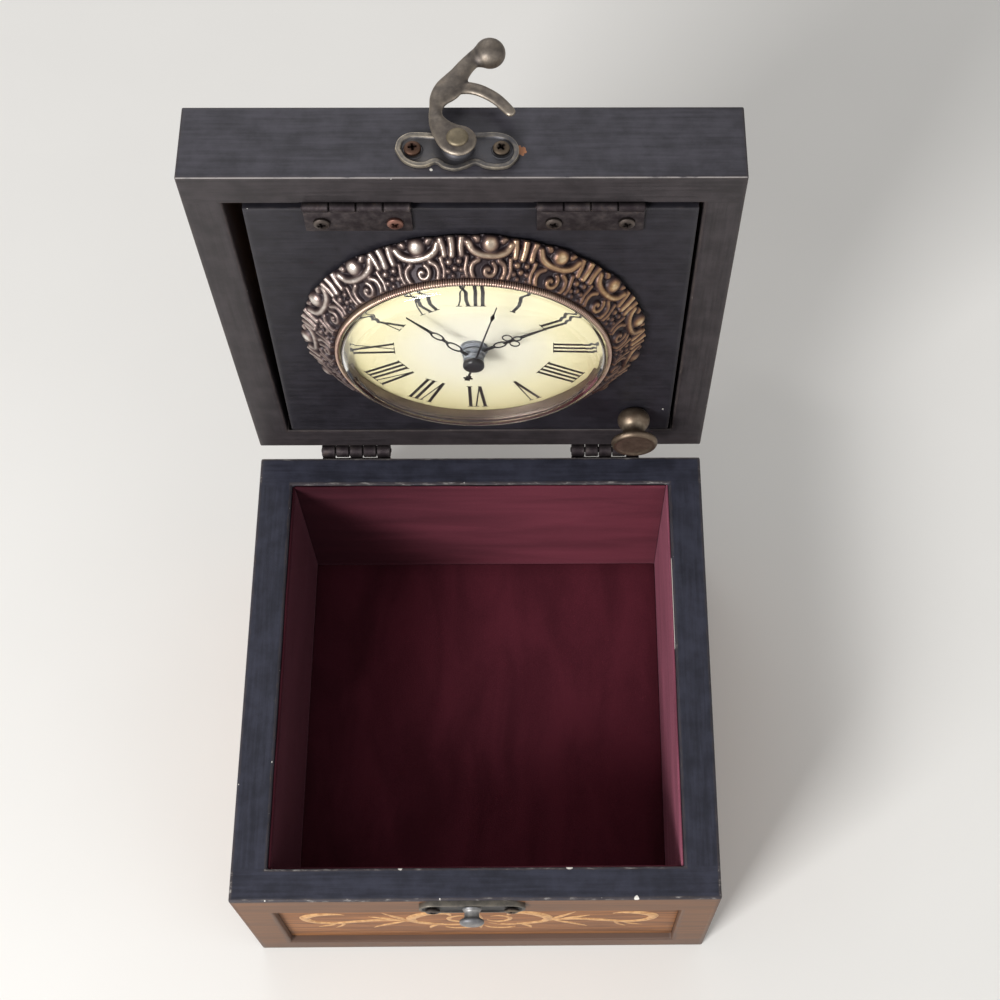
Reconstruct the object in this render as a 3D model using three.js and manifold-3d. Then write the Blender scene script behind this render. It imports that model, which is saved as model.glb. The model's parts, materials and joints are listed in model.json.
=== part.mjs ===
// A square wooden keepsake box whose raised lid hides a second space behind a small clock door.
// Millimetres, +Z up, origin at the middle of the underside, the lid standing open at a right angle.

import * as THREE from 'three';
import { mergeVertices } from 'three/addons/utils/BufferGeometryUtils.js';
import Module from 'manifold-3d';

const wasm = await Module();
wasm.setup();

// Clearances
const runGap = 0.3; // between pieces that turn in or past each other
const seatGap = 0.2; // between a fitting and the face it is fixed to
const glueGap = 0.1; // glue line under the lining and round the inlaid panel

// Case
const caseWidth = 155;
const caseDepth = 156;
const caseHeight = 74;
const sideWall = 11.5;
const endWall = 10.5;
const bottomThickness = 5;

// Sunk panels on the outside of the case
const panelStile = 11.5;
const panelFoot = 10; // wood below a panel
const panelHead = 17; // wood above a panel
const panelRecess = 2.3;
const panelThickness = 1.5;

// Velvet on card
const liningThickness = 0.8;
const liningDrop = 0.6; // how far the lining stops below the rim
const liningFrontDrop = 2.2; // the same along the front, where the barrels of the door hinges come down

// Lid frame
const lidThickness = 24;
const lidStile = 11;
const hingeRail = 11;
const freeRail = 11.5;
const boardThickness = 2.5;
const boardRecess = 1;
const closedGap = 0.3; // between rim and lid when the lid is down

// Lid hinges, on the back faces
const pinSetback = 3; // pin axis behind the back face
const lidHingeInset = 33.5; // hinge middle from the side of the box
const lidHingeWidth = 24;
const lidHingeReach = 16;
const lidLeafThickness = 1;
const lidBarrelRadius = 2.4;
const lidPinRadius = 1;
const lidKnuckles = 5;
const lidScrewSpacing = 14;
const lidScrewReach = 10.5; // from the pin axis
const stopWidth = 3; // lug that holds the lid upright
const stopThickness = 1.2;

// Clock door in the lid frame
const doorThickness = 4.5;
const doorTopGap = 2.4;
const doorFootGap = 0.8;
const doorRightGap = 1.2;
const doorLeftGapTop = 5; // the door hangs a little out of square
const doorLeftGapFoot = 1.6;
const doorStopStep = 3; // step in the rail that the door closes against

// Door hinges
const doorHingeLeftInset = 47.8; // hinge middle from the side of the box
const doorHingeRightInset = 42.4;
const doorHingeWidth = 30;
const doorHingeReach = 10.9;
const doorLeafThickness = 0.8;
const doorBarrelRadius = 1.4;
const doorPinRadius = 0.5;
const doorPinForward = 0.7; // pin axis from the face of the lid
const doorPinDrop = 0.9; // pin axis below the front rail
const doorKnuckles = 4;
const doorScrewSpacing = 20.5;
const doorScrewReach = 6.8; // from the pin axis
const frameLeafReach = 10.4;

// Screws
const screwHeadRadius = 2.4;
const screwHeadHeight = 1.2;
const screwHeadEdge = 0.4; // straight part of the head's side
const screwCrownRadius = 1.7;
const screwShankRadius = 1.2;
const screwLength = 6;
const doorScrewLength = 4; // stops inside the thin door
const shankGap = 0.3;

// Knob on the door
const knobInset = 24.8; // from the right side of the box
const knobHeight = 24; // above the hinge edge of the lid
const knobFootRadius = 5.5;
const knobFootHeight = 5.6;
const knobNeckRadius = 2.6;
const knobHeadRadius = 7.9;
const knobHeadThickness = 2.4;
const knobReach = 13.4;
const knobScrewRadius = 1.6;
const knobScrewHeadRadius = 3.2;
const knobScrewHeadHeight = 1.5;
const knobScrewDepth = 4; // thread inside the knob

// Swing hook on the front edge of the lid
const latchX = -1.2;
const latchInset = 9.5; // pivot from the inner face of the lid
const latchPlateThickness = 1.2;
const latchLobeRadius = 5.9;
const latchScrewLeft = 12.3;
const latchScrewRight = 11.8;
const latchWaistHeight = 9.6;
const latchCrownRadius = 6.6;
const latchCrownDrop = 1.8; // middle lobe sits this far towards the inner face
const latchBossRadius = 5;
const latchBossTop = 2.8;
const armThickness = 1.6;
const armHubRadius = 5.3;
const armHoleGap = 0.3;
const rivetRadius = 1.8;
const rivetHeadRadius = 3;
const rivetHeadHeight = 1.5;
const rivetDepth = 6;
const spineRadius = 18; // middle line of the bowed back of the hook
const spineWidth = 3.6;
const spineCentreX = 11.8;
const spineCentreY = 8;
const spineStartAngle = 146;
const spineEndAngle = 216;
const prongWidth = 3.3;
const prongStartAngle = 28;
const prongEndAngle = 106;
const shoulderX = -2.2;
const shoulderY = 17;
const shoulderRadius = 3.9;
const neckX = 2;
const neckY = 24.8;
const neckRadius = 2.5;
const ballX = 8.6;
const ballY = 29.5;
const ballRadius = 4.1;
const ballLift = 0.5; // under the ball

// Catch on the front of the case
const catchWidth = 34;
const catchHeight = 10;
const catchDrop = 0.3; // below the rim
const catchThickness = 1.5;
const catchScrewSpacing = 25;
const studDrop = 3.2; // stud axis below the rim
const studNeckRadius = 1.5;
const studCollarRadius = 3;
const studCollarTop = 2.6;
const studHeadRadius = 3.9;
const studHeadStart = 5;
const studReach = 7.4;
const studDepth = 5;

// Clock, heights counted forward from the face of the door
const clockX = 0.5;
const clockDrop = 65.6; // clock axis below the hinge axis of the door
const skirtRadius = 52.4;
const skirtRepeats = 15;
const skirtTurn = THREE.MathUtils.degToRad(7); // first boss, clockwise from the top
const skirtBossSwell = 0.9;
const skirtBossRise = 0.7;
const skirtRipple = 0.45;
const skirtTop = 9.4;
const ledgeRadius = 37.5;
const ledgeHeight = 5.2;
const dialRadius = 41;
const dialThickness = 0.5;
const dialTop = 6;
const rimTop = 10.8;
const rimWidth = 1.4;
const rimInnerRadius = 41.2;
const bezelHeight = 4; // slanted polished wall between dial and rim
const bezelWall = 1;
const lensThickness = 1.2;
const lensTop = 15.8;
const lensShoulder = 13;

// Clock works behind the door
const worksSize = 56;
const worksDepth = 15.4;
const worksCorner = 4;
const bushRadius = 3.1;
const bushTop = 7.7;
const nutRadius = 4.4;
const nutThickness = 1.5;
const batteryRadius = 7.1;
const batteryLength = 50;
const batteryDrop = 19.6; // battery axis below the clock axis
const cellTipRadius = 2.6;
const cellTipLength = 1.2;
const arborDepth = 8; // how far the arbors reach into the works
const hourPipeRadius = 2.1;
const minuteArborRadius = 1.2;
const secondArborRadius = 0.45;
const wheelRadius = 6;
const wheelThickness = 1.7;
const wheelRise = 15; // setting wheel axis above the clock axis
const wheelShaftRadius = 1.4;
const wheelShaftLength = 5;

// Hands
const handThickness = 0.4;
const hourLevel = 8.1;
const minuteLevel = 9.9;
const secondLevel = 11.8;
const hourLength = 28;
const hourStem = 8;
const hourKnot = 9.9; // middle of the long loop
const hourTrefoil = 14; // middle of the side loops
const hourCrown = 16.2;
const hourBlade = 17.4; // start of the blade
const minuteLength = 31;
const minuteStem = 6.4;
const minuteFirstLoop = 9.2;
const minuteBar = 12;
const minuteSecondLoop = 17;
const minuteBlade = 19.4;
const secondLength = 33.5;
const secondTail = 10.8;
const hourAngle = 56;
const minuteAngle = -38;
const secondAngle = 13.5;
const hubRadius = 2.9;
const hubHeight = 0.9;
const capRadius = 3.3;
const capTop = 13.6;

// Faceting
const fine = 32;
const medium = 18;
const small = 12;
const tiny = 8;
const skirtSteps = 4; // per repeat of the ornament
const curveSteps = 6;

// Levels that follow from the sizes above
const backY = caseDepth / 2;
const frontY = -caseDepth / 2;
const halfWidth = caseWidth / 2;
const innerX = halfWidth - sideWall;
const innerY = backY - endWall;
const lidHingeOffset = halfWidth - lidHingeInset;
const doorHingeLeftX = -halfWidth + doorHingeLeftInset;
const doorHingeRightX = halfWidth - doorHingeRightInset;
const knobX = halfWidth - knobInset;
const axisY = backY + pinSetback;
const axisZ = caseHeight;
const lidFaceY = axisY + closedGap;
const lidBackY = lidFaceY + lidThickness;
const lidFootZ = axisZ + pinSetback;
const lidTopZ = lidFootZ + caseDepth;
const lidInnerX = halfWidth - lidStile;
const lidOpenLow = lidFootZ + hingeRail;
const lidOpenHigh = lidTopZ - freeRail;
const doorBackY = lidFaceY + doorThickness;
const doorTopZ = lidOpenHigh - doorTopGap;
const doorFootZ = lidOpenLow + doorFootGap;
const doorAxisY = lidFaceY - doorPinForward;
const doorAxisZ = lidOpenHigh - doorPinDrop;
const clockZ = doorAxisZ - clockDrop;
const knobZ = lidFootZ + knobHeight;
const latchY = lidFaceY + latchInset;
const armLow = latchBossTop + seatGap;
const armHigh = armLow + armThickness;

const paintedWood = new THREE.MeshStandardMaterial({ color: 0x373a44, roughness: 0.55, metalness: 0 });
const panelWood = new THREE.MeshStandardMaterial({ color: 0xa5733f, roughness: 0.6, metalness: 0 });
const velvet = new THREE.MeshStandardMaterial({ color: 0x5c2a34, roughness: 0.95, metalness: 0 });
const agedBrass = new THREE.MeshStandardMaterial({ color: 0x6a6052, roughness: 0.4, metalness: 1 });
const darkSteel = new THREE.MeshStandardMaterial({ color: 0x3a3634, roughness: 0.5, metalness: 1 });
const giltMetal = new THREE.MeshStandardMaterial({ color: 0x7a6248, roughness: 0.45, metalness: 1 });
const rimMetal = new THREE.MeshStandardMaterial({ color: 0xb08a62, roughness: 0.3, metalness: 1 });
const clearLens = new THREE.MeshStandardMaterial({
  color: 0xf4f6f6, roughness: 0.05, metalness: 0, transparent: true, opacity: 0.25,
});
const dialPaper = new THREE.MeshStandardMaterial({ color: 0xf2ebc4, roughness: 0.6, metalness: 0 });
const blackMetal = new THREE.MeshStandardMaterial({ color: 0x17171a, roughness: 0.45, metalness: 0.6 });
const greyMetal = new THREE.MeshStandardMaterial({ color: 0x86888c, roughness: 0.4, metalness: 1 });
const blackPlastic = new THREE.MeshStandardMaterial({ color: 0x1c1d1f, roughness: 0.6, metalness: 0 });
const cellShell = new THREE.MeshStandardMaterial({ color: 0x3c5a78, roughness: 0.4, metalness: 0.4 });

// Solids and booleans

function toSolid(geometry) {
  const bare = geometry.clone();
  bare.deleteAttribute('normal');
  bare.deleteAttribute('uv');
  const merged = mergeVertices(bare, 1e-5);
  return new wasm.Manifold(new wasm.Mesh({
    numProp: 3,
    vertProperties: new Float32Array(merged.attributes.position.array),
    triVerts: new Uint32Array(merged.index.array),
  }));
}

function toGeometry(solid) {
  const mesh = solid.getMesh();
  const geometry = new THREE.BufferGeometry();
  geometry.setAttribute('position', new THREE.BufferAttribute(new Float32Array(mesh.vertProperties), 3));
  geometry.setIndex(new THREE.BufferAttribute(new Uint32Array(mesh.triVerts), 1));
  geometry.computeVertexNormals();
  return geometry;
}

function join(...solids) {
  return solids.reduce((whole, solid) => whole.add(solid));
}

function cut(body, ...tools) {
  return tools.reduce((rest, tool) => rest.subtract(tool), body);
}

// A block between two corners, its faces exactly on the given values.
function block(x0, x1, y0, y1, z0, z1) {
  const geometry = new THREE.BoxGeometry(1, 1, 1);
  const place = geometry.attributes.position;
  for (let i = 0; i < place.count; i += 1) {
    place.setXYZ(
      i,
      place.getX(i) > 0 ? Math.max(x0, x1) : Math.min(x0, x1),
      place.getY(i) > 0 ? Math.max(y0, y1) : Math.min(y0, y1),
      place.getZ(i) > 0 ? Math.max(z0, z1) : Math.min(z0, z1),
    );
  }
  return toSolid(geometry);
}

const outward = {
  forward: new THREE.Vector3(0, -1, 0),
  back: new THREE.Vector3(0, 1, 0),
  up: new THREE.Vector3(0, 0, 1),
  down: new THREE.Vector3(0, 0, -1),
  right: new THREE.Vector3(1, 0, 0),
};

// Turns a shape made along +Z so that +Z points the named way, then moves it.
function aim(geometry, way, x, y, z) {
  const turn = new THREE.Quaternion().setFromUnitVectors(outward.up, outward[way]);
  if (way === 'down') turn.setFromAxisAngle(new THREE.Vector3(1, 0, 0), Math.PI);
  geometry.applyQuaternion(turn);
  geometry.translate(x, y, z);
  return toSolid(geometry);
}

// A turned piece: radius and height pairs, revolved about the axis.
function turned(profile, sides, way, x, y, z) {
  const points = profile.map(([radius, height]) => new THREE.Vector2(radius, height));
  const geometry = new THREE.LatheGeometry(points, sides);
  geometry.rotateX(Math.PI / 2);
  return aim(geometry, way, x, y, z);
}

function rod(radius, from, to, sides, way, x, y, z) {
  return turned([[0, from], [radius, from], [radius, to], [0, to]], sides, way, x, y, z);
}

function tube(inner, outer, from, to, sides, way, x, y, z) {
  const profile = [[inner, from], [outer, from], [outer, to], [inner, to], [inner, from]];
  return turned(profile, sides, way, x, y, z);
}

function extruded(shape, from, to, way, x, y, z, sides = curveSteps) {
  const geometry = new THREE.ExtrudeGeometry(shape, {
    depth: to - from, bevelEnabled: false, curveSegments: sides,
  });
  geometry.translate(0, 0, from);
  return aim(geometry, way, x, y, z);
}

// Adds a named piece to its group.
function piece(group, name, solid, material) {
  const mesh = new THREE.Mesh(toGeometry(solid), material);
  mesh.name = name;
  group.add(mesh);
}

// Screws with a domed head; the shank goes into the wood behind the leaf or plate.

function screwSolid(way, x, y, z, length = screwLength) {
  return turned([
    [0, -length],
    [screwShankRadius, -length],
    [screwShankRadius, 0],
    [screwHeadRadius, 0],
    [screwHeadRadius, screwHeadEdge],
    [screwCrownRadius, screwHeadHeight * 0.85],
    [0, screwHeadHeight],
  ], tiny, way, x, y, z);
}

function screwHole(way, x, y, z) {
  const depth = screwLength + shankGap;
  return rod(screwShankRadius + shankGap, -depth, screwHeadHeight, tiny, way, x, y, z);
}

const safe = new THREE.Group();
const caseGroup = new THREE.Group();
const lidGroup = new THREE.Group();
const doorGroup = new THREE.Group();
safe.add(caseGroup, lidGroup);
lidGroup.add(doorGroup);

// Hinges. A leaf lies in a plane `offset` from the pin axis and runs away from it along `run`;
// the wood is on the far side of the leaf, along `face`. Both are directions in the Y-Z plane.

function hingeSpans(middle, width, knuckles) {
  const pitch = width / knuckles;
  return Array.from({ length: knuckles }, (_, i) => {
    const low = middle - width / 2 + i * pitch;
    return [low + (i > 0 ? runGap / 2 : 0), low + pitch - (i < knuckles - 1 ? runGap / 2 : 0)];
  });
}

function hingeLeaf(hinge, run, face, reach, offset, first) {
  const { middle, width, knuckles, axisY: pinY, axisZ: pinZ, barrel, pin, thickness } = hinge;
  const slab = (x0, x1, u0, u1, v0, v1) => block(
    x0, x1,
    pinY + run.y * u0 + face.y * v0, pinY + run.y * u1 + face.y * v1,
    pinZ + run.z * u0 + face.z * v0, pinZ + run.z * u1 + face.z * v1,
  );
  const under = offset - thickness;
  const clear = barrel + runGap;
  const start = Math.sqrt(Math.max(clear * clear - under * under, 0.01)) + glueGap;
  let leaf = slab(middle - width / 2, middle + width / 2, start, reach, under, offset);
  const spans = hingeSpans(middle, width, knuckles).filter((_, i) => i % 2 === first);
  for (const [low, high] of spans) {
    leaf = join(
      leaf,
      slab(low, high, 0, start + thickness, under, offset),
      rod(barrel, low, high, small, 'right', 0, pinY, pinZ),
    );
  }
  const half = width / 2 + 1;
  return cut(leaf, rod(pin + runGap, middle - half, middle + half, tiny, 'right', 0, pinY, pinZ));
}

function hingePin(hinge) {
  const half = hinge.width / 2 + 0.4;
  return rod(
    hinge.pin, hinge.middle - half, hinge.middle + half, tiny, 'right', 0, hinge.axisY, hinge.axisZ,
  );
}

const lidHinge = (middle) => ({
  middle,
  width: lidHingeWidth,
  knuckles: lidKnuckles,
  axisY,
  axisZ,
  barrel: lidBarrelRadius,
  pin: lidPinRadius,
  thickness: lidLeafThickness,
});

const doorHinge = (middle) => ({
  middle,
  width: doorHingeWidth,
  knuckles: doorKnuckles,
  axisY: doorAxisY,
  axisZ: doorAxisZ,
  barrel: doorBarrelRadius,
  pin: doorPinRadius,
  thickness: doorLeafThickness,
});

const lidHinges = { left: lidHinge(-lidHingeOffset), right: lidHinge(lidHingeOffset) };
const doorHinges = { left: doorHinge(doorHingeLeftX), right: doorHinge(doorHingeRightX) };
const screwSides = { left: -0.5, right: 0.5 };

// Case walls, bottom and inlaid front panel

const leafY = backY + seatGap;
const panelLeft = -halfWidth + panelStile;
const panelTop = caseHeight - panelHead;
const frontPocket = panelRecess + panelThickness;
const caseScrewZ = axisZ - lidScrewReach;
const studZ = caseHeight - studDrop;
const catchTop = caseHeight - catchDrop;
const catchMiddle = catchTop - catchHeight / 2;
const catchFace = catchThickness + seatGap;

let frontWall = block(-halfWidth, halfWidth, frontY, -innerY, 0, caseHeight);
frontWall = cut(
  frontWall,
  block(panelLeft, -panelLeft, frontY - 1, frontY + frontPocket, panelFoot, panelTop),
  rod(studNeckRadius + shankGap, -studDepth - shankGap, 1, tiny, 'forward', latchX, frontY, studZ),
);
let backWall = block(-halfWidth, halfWidth, innerY, backY, 0, caseHeight);
for (const [side, hinge] of Object.entries(lidHinges)) {
  for (const [hand, share] of Object.entries(screwSides)) {
    const x = hinge.middle + share * lidScrewSpacing;
    const y = leafY + lidLeafThickness;
    backWall = cut(backWall, screwHole('back', x, y, caseScrewZ));
    piece(caseGroup, `case_hinge_screw_${side}_${hand}`, screwSolid('back', x, y, caseScrewZ), darkSteel);
  }
}
for (const [hand, share] of Object.entries(screwSides)) {
  const x = latchX + share * catchScrewSpacing;
  const y = frontY - catchFace;
  frontWall = cut(frontWall, screwHole('forward', x, y, catchMiddle));
  piece(caseGroup, `catch_screw_${hand}`, screwSolid('forward', x, y, catchMiddle), agedBrass);
}
piece(caseGroup, 'front_wall', frontWall, paintedWood);
piece(caseGroup, 'back_wall', backWall, paintedWood);

for (const [side, sign] of [['left', -1], ['right', 1]]) {
  const edge = backY - panelStile;
  piece(caseGroup, `${side}_wall`, cut(
    block(sign * innerX, sign * halfWidth, -innerY, innerY, 0, caseHeight),
    block(sign * (halfWidth - panelRecess), sign * (halfWidth + 1), -edge, edge, panelFoot, panelTop),
  ), paintedWood);
}
piece(caseGroup, 'bottom_board', block(-innerX, innerX, -innerY, innerY, 0, bottomThickness), paintedWood);
piece(caseGroup, 'front_panel', block(
  panelLeft + glueGap, -panelLeft - glueGap,
  frontY + panelRecess, frontY + frontPocket - glueGap,
  panelFoot + glueGap, panelTop - glueGap,
), panelWood);

// Velvet lining of the case

const sleeveX = innerX - glueGap;
const sleeveY = innerY - glueGap;
const sleeveLow = bottomThickness + glueGap;
piece(caseGroup, 'lining_sleeve', cut(
  block(-sleeveX, sleeveX, -sleeveY, sleeveY, sleeveLow, caseHeight - liningDrop),
  block(
    -sleeveX + liningThickness, sleeveX - liningThickness,
    -sleeveY + liningThickness, sleeveY - liningThickness,
    0, caseHeight,
  ),
  block(
    -sleeveX + liningThickness, sleeveX - liningThickness,
    -sleeveY - 1, -sleeveY + liningThickness + 1,
    caseHeight - liningFrontDrop, caseHeight,
  ),
), velvet);
const floorX = sleeveX - liningThickness - glueGap;
const floorY = sleeveY - liningThickness - glueGap;
piece(caseGroup, 'lining_floor', block(
  -floorX, floorX, -floorY, floorY, sleeveLow, sleeveLow + liningThickness,
), velvet);

// Catch plate and stud on the front of the case

piece(caseGroup, 'catch_plate', cut(
  block(
    latchX - catchWidth / 2, latchX + catchWidth / 2,
    frontY - catchFace, frontY - seatGap,
    catchTop - catchHeight, catchTop,
  ),
  rod(studNeckRadius + shankGap, -1, catchFace + 1, tiny, 'forward', latchX, frontY, studZ),
  ...Object.values(screwSides).map((share) => screwHole(
    'forward', latchX + share * catchScrewSpacing, frontY - catchFace, catchMiddle,
  )),
), agedBrass);
piece(caseGroup, 'catch_stud', turned([
  [0, -studDepth],
  [studNeckRadius, -studDepth],
  [studNeckRadius, catchFace + seatGap],
  [studCollarRadius, catchFace + seatGap],
  [studCollarRadius, studCollarTop],
  [studNeckRadius, studCollarTop + 0.2],
  [studNeckRadius, studHeadStart],
  [studHeadRadius, studHeadStart + 0.3],
  [studHeadRadius, studReach - 1],
  [studHeadRadius * 0.7, studReach - 0.2],
  [0, studReach],
], small, 'forward', latchX, frontY, studZ), agedBrass);

// Lid hinges: case leaves with a stop lug, lid leaves and pins

const away = { down: { y: 0, z: -1 }, up: { y: 0, z: 1 }, back: { y: 1, z: 0 }, forward: { y: -1, z: 0 } };
for (const [side, hinge] of Object.entries(lidHinges)) {
  const seat = pinSetback - seatGap;
  const outer = hinge.middle + Math.sign(hinge.middle) * (hinge.width / 2);
  const inner = outer - Math.sign(hinge.middle) * stopWidth;
  const lugLow = axisZ - lidBarrelRadius - 2 * runGap - stopThickness;
  const lugY = axisY + lidBarrelRadius + 2 * runGap;
  const lidLeafUnder = lidFootZ - seatGap - lidLeafThickness;
  const caseLeaf = join(
    hingeLeaf(hinge, away.down, away.forward, lidHingeReach, seat, 0),
    block(inner, outer, leafY, lugY + stopThickness, lugLow, lugLow + stopThickness),
    block(inner, outer, lugY, lugY + stopThickness, lugLow, lidLeafUnder - runGap),
  );
  piece(caseGroup, `case_hinge_leaf_${side}`, cut(
    caseLeaf,
    ...Object.values(screwSides).map((share) => screwHole(
      'back', hinge.middle + share * lidScrewSpacing, leafY + lidLeafThickness, caseScrewZ,
    )),
  ), darkSteel);
  piece(caseGroup, `lid_hinge_pin_${side}`, hingePin(hinge), darkSteel);

  const lidScrewY = axisY + lidScrewReach;
  piece(lidGroup, `lid_hinge_leaf_${side}`, cut(
    hingeLeaf(hinge, away.back, away.up, lidHingeReach, seat, 1),
    ...Object.values(screwSides).map((share) => screwHole(
      'down', hinge.middle + share * lidScrewSpacing, lidScrewY, lidLeafUnder,
    )),
  ), darkSteel);
}

// Lid frame and top board

let lidHingeRailSolid = join(
  block(-halfWidth, halfWidth, lidFaceY, lidBackY, lidFootZ, lidOpenLow),
  block(
    -lidInnerX, lidInnerX,
    doorBackY + seatGap, lidBackY - boardRecess - boardThickness,
    lidOpenLow - 1, lidOpenLow + doorStopStep,
  ),
);
for (const [side, hinge] of Object.entries(lidHinges)) {
  for (const [hand, share] of Object.entries(screwSides)) {
    const x = hinge.middle + share * lidScrewSpacing;
    const y = axisY + lidScrewReach;
    const z = lidFootZ - seatGap - lidLeafThickness;
    lidHingeRailSolid = cut(lidHingeRailSolid, screwHole('down', x, y, z));
    piece(lidGroup, `lid_hinge_screw_${side}_${hand}`, screwSolid('down', x, y, z), darkSteel);
  }
}
piece(lidGroup, 'lid_hinge_rail', lidHingeRailSolid, paintedWood);
for (const [side, sign] of [['left', -1], ['right', 1]]) {
  piece(lidGroup, `lid_${side}_stile`, block(
    sign * lidInnerX, sign * halfWidth, lidFaceY, lidBackY, lidOpenLow, lidOpenHigh,
  ), paintedWood);
}
piece(lidGroup, 'lid_top_board', block(
  -lidInnerX, lidInnerX,
  lidBackY - boardRecess - boardThickness, lidBackY - boardRecess,
  lidOpenLow, lidOpenHigh,
), panelWood);

// Front rail of the lid, drilled for the hook and for the screws of the door hinges

let lidFrontRail = block(-halfWidth, halfWidth, lidFaceY, lidBackY, lidOpenHigh, lidTopZ);
lidFrontRail = cut(
  lidFrontRail,
  rod(rivetRadius + shankGap, -rivetDepth - shankGap, 1, tiny, 'up', latchX, latchY, lidTopZ),
);
const latchScrewX = { left: latchX - latchScrewLeft, right: latchX + latchScrewRight };
const latchFace = latchPlateThickness + seatGap;
for (const [side, x] of Object.entries(latchScrewX)) {
  lidFrontRail = cut(lidFrontRail, screwHole('up', x, latchY - 1, lidTopZ + latchFace));
  piece(lidGroup, `latch_screw_${side}`, screwSolid('up', x, latchY - 1, lidTopZ + latchFace), agedBrass);
}
const frameLeafOffset = lidOpenHigh - doorAxisZ - seatGap;
const frameScrewY = doorAxisY + frameLeafReach - 3.5;
for (const [side, hinge] of Object.entries(doorHinges)) {
  let frameLeaf = hingeLeaf(hinge, away.back, away.up, frameLeafReach, frameLeafOffset, 0);
  for (const share of Object.values(screwSides)) {
    const x = hinge.middle + share * doorScrewSpacing;
    const z = lidOpenHigh - seatGap;
    frameLeaf = join(frameLeaf, rod(
      screwShankRadius, -doorLeafThickness / 2, screwLength, tiny, 'up', x, frameScrewY, z,
    ));
    lidFrontRail = cut(lidFrontRail, rod(
      screwShankRadius + shankGap, -1, screwLength + shankGap, tiny, 'up', x, frameScrewY, z,
    ));
  }
  // Room for the barrel in the lower front edge of the rail
  lidFrontRail = cut(lidFrontRail, rod(
    doorBarrelRadius + runGap,
    hinge.middle - doorHingeWidth / 2 - 1, hinge.middle + doorHingeWidth / 2 + 1,
    small, 'right', 0, doorAxisY, doorAxisZ,
  ));
  piece(lidGroup, `door_hinge_frame_leaf_${side}`, frameLeaf, darkSteel);
  piece(lidGroup, `door_hinge_pin_${side}`, hingePin(hinge), darkSteel);
}
piece(lidGroup, 'lid_front_rail', lidFrontRail, paintedWood);

// Swing hook: lobed plate, hook and rivet on the front edge of the lid

function disc(radius, from, to, sides, x, y) {
  return rod(radius, from, to, sides, 'up', x, y, lidTopZ);
}

const plateTop = latchFace;
const plateLow = seatGap;
const lobeY = latchY - 1;
const latchPlate = join(
  disc(latchLobeRadius, plateLow, plateTop, medium, latchScrewX.left, lobeY),
  disc(latchLobeRadius, plateLow, plateTop, medium, latchScrewX.right, lobeY),
  disc(latchCrownRadius, plateLow, plateTop, medium, latchX, latchY - latchCrownDrop),
  block(
    latchScrewX.left, latchScrewX.right,
    lobeY - latchWaistHeight / 2, lobeY + latchWaistHeight / 2,
    lidTopZ + plateLow, lidTopZ + plateTop,
  ),
  disc(latchBossRadius, plateLow, latchBossTop, medium, latchX, latchY),
);
piece(lidGroup, 'latch_plate', cut(
  latchPlate,
  disc(rivetRadius + shankGap, -1, latchBossTop + 1, small, latchX, latchY),
  ...Object.values(latchScrewX).map((x) => screwHole('up', x, lobeY, lidTopZ + latchFace)),
), agedBrass);

function ringSector(radius, width, start, end) {
  const shape = new THREE.Shape();
  const from = THREE.MathUtils.degToRad(start);
  const to = THREE.MathUtils.degToRad(end);
  shape.absarc(0, 0, radius + width / 2, from, to, false);
  shape.absarc(0, 0, radius - width / 2, to, from, true);
  return shape;
}

// A bar between two rounded ends of different radius.
function taper(x0, y0, r0, x1, y1, r1) {
  const along = Math.atan2(y1 - y0, x1 - x0);
  const lean = Math.asin((r0 - r1) / Math.hypot(x1 - x0, y1 - y0));
  const turn = Math.PI / 2 - lean;
  const shape = new THREE.Shape();
  shape.absarc(x0, y0, r0, along + turn, along + 2 * Math.PI - turn, false);
  shape.absarc(x1, y1, r1, along - turn, along + turn, false);
  return shape;
}

function armPlate(shape, dx, dy) {
  return extruded(shape, armLow, armHigh, 'up', latchX + dx, latchY + dy, lidTopZ);
}

const studReachFromPivot = latchInset + closedGap + studDrop;
const prongRadius = studReachFromPivot + studNeckRadius + runGap + prongWidth / 2;
const prongTip = THREE.MathUtils.degToRad(prongStartAngle);
const armSolid = join(
  disc(armHubRadius, armLow, armHigh, medium, latchX, latchY),
  armPlate(ringSector(spineRadius, spineWidth, spineStartAngle, spineEndAngle), spineCentreX, spineCentreY),
  armPlate(ringSector(prongRadius, prongWidth, prongStartAngle, prongEndAngle), 0, 0),
  disc(
    prongWidth / 2, armLow, armHigh, small,
    latchX + prongRadius * Math.cos(prongTip), latchY + prongRadius * Math.sin(prongTip),
  ),
  armPlate(taper(shoulderX, shoulderY, shoulderRadius, neckX, neckY, neckRadius), 0, 0),
  armPlate(taper(neckX, neckY, neckRadius, ballX, ballY, neckRadius * 0.9), 0, 0),
  aim(new THREE.SphereGeometry(ballRadius, small, tiny), 'up', latchX + ballX, latchY + ballY,
    lidTopZ + ballLift + ballRadius),
);
piece(lidGroup, 'latch_arm', cut(
  armSolid,
  disc(rivetRadius + armHoleGap, armLow - 1, armHigh + 1, small, latchX, latchY),
), agedBrass);
piece(lidGroup, 'latch_rivet', turned([
  [0, -rivetDepth],
  [rivetRadius, -rivetDepth],
  [rivetRadius, armHigh + seatGap],
  [rivetHeadRadius, armHigh + seatGap],
  [rivetHeadRadius, armHigh + seatGap + rivetHeadHeight * 0.7],
  [rivetHeadRadius * 0.75, armHigh + seatGap + rivetHeadHeight],
  [0, armHigh + seatGap + rivetHeadHeight],
], small, 'up', latchX, latchY, lidTopZ), agedBrass);

// Door panel with its holes, hinge leaves and screws

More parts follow.
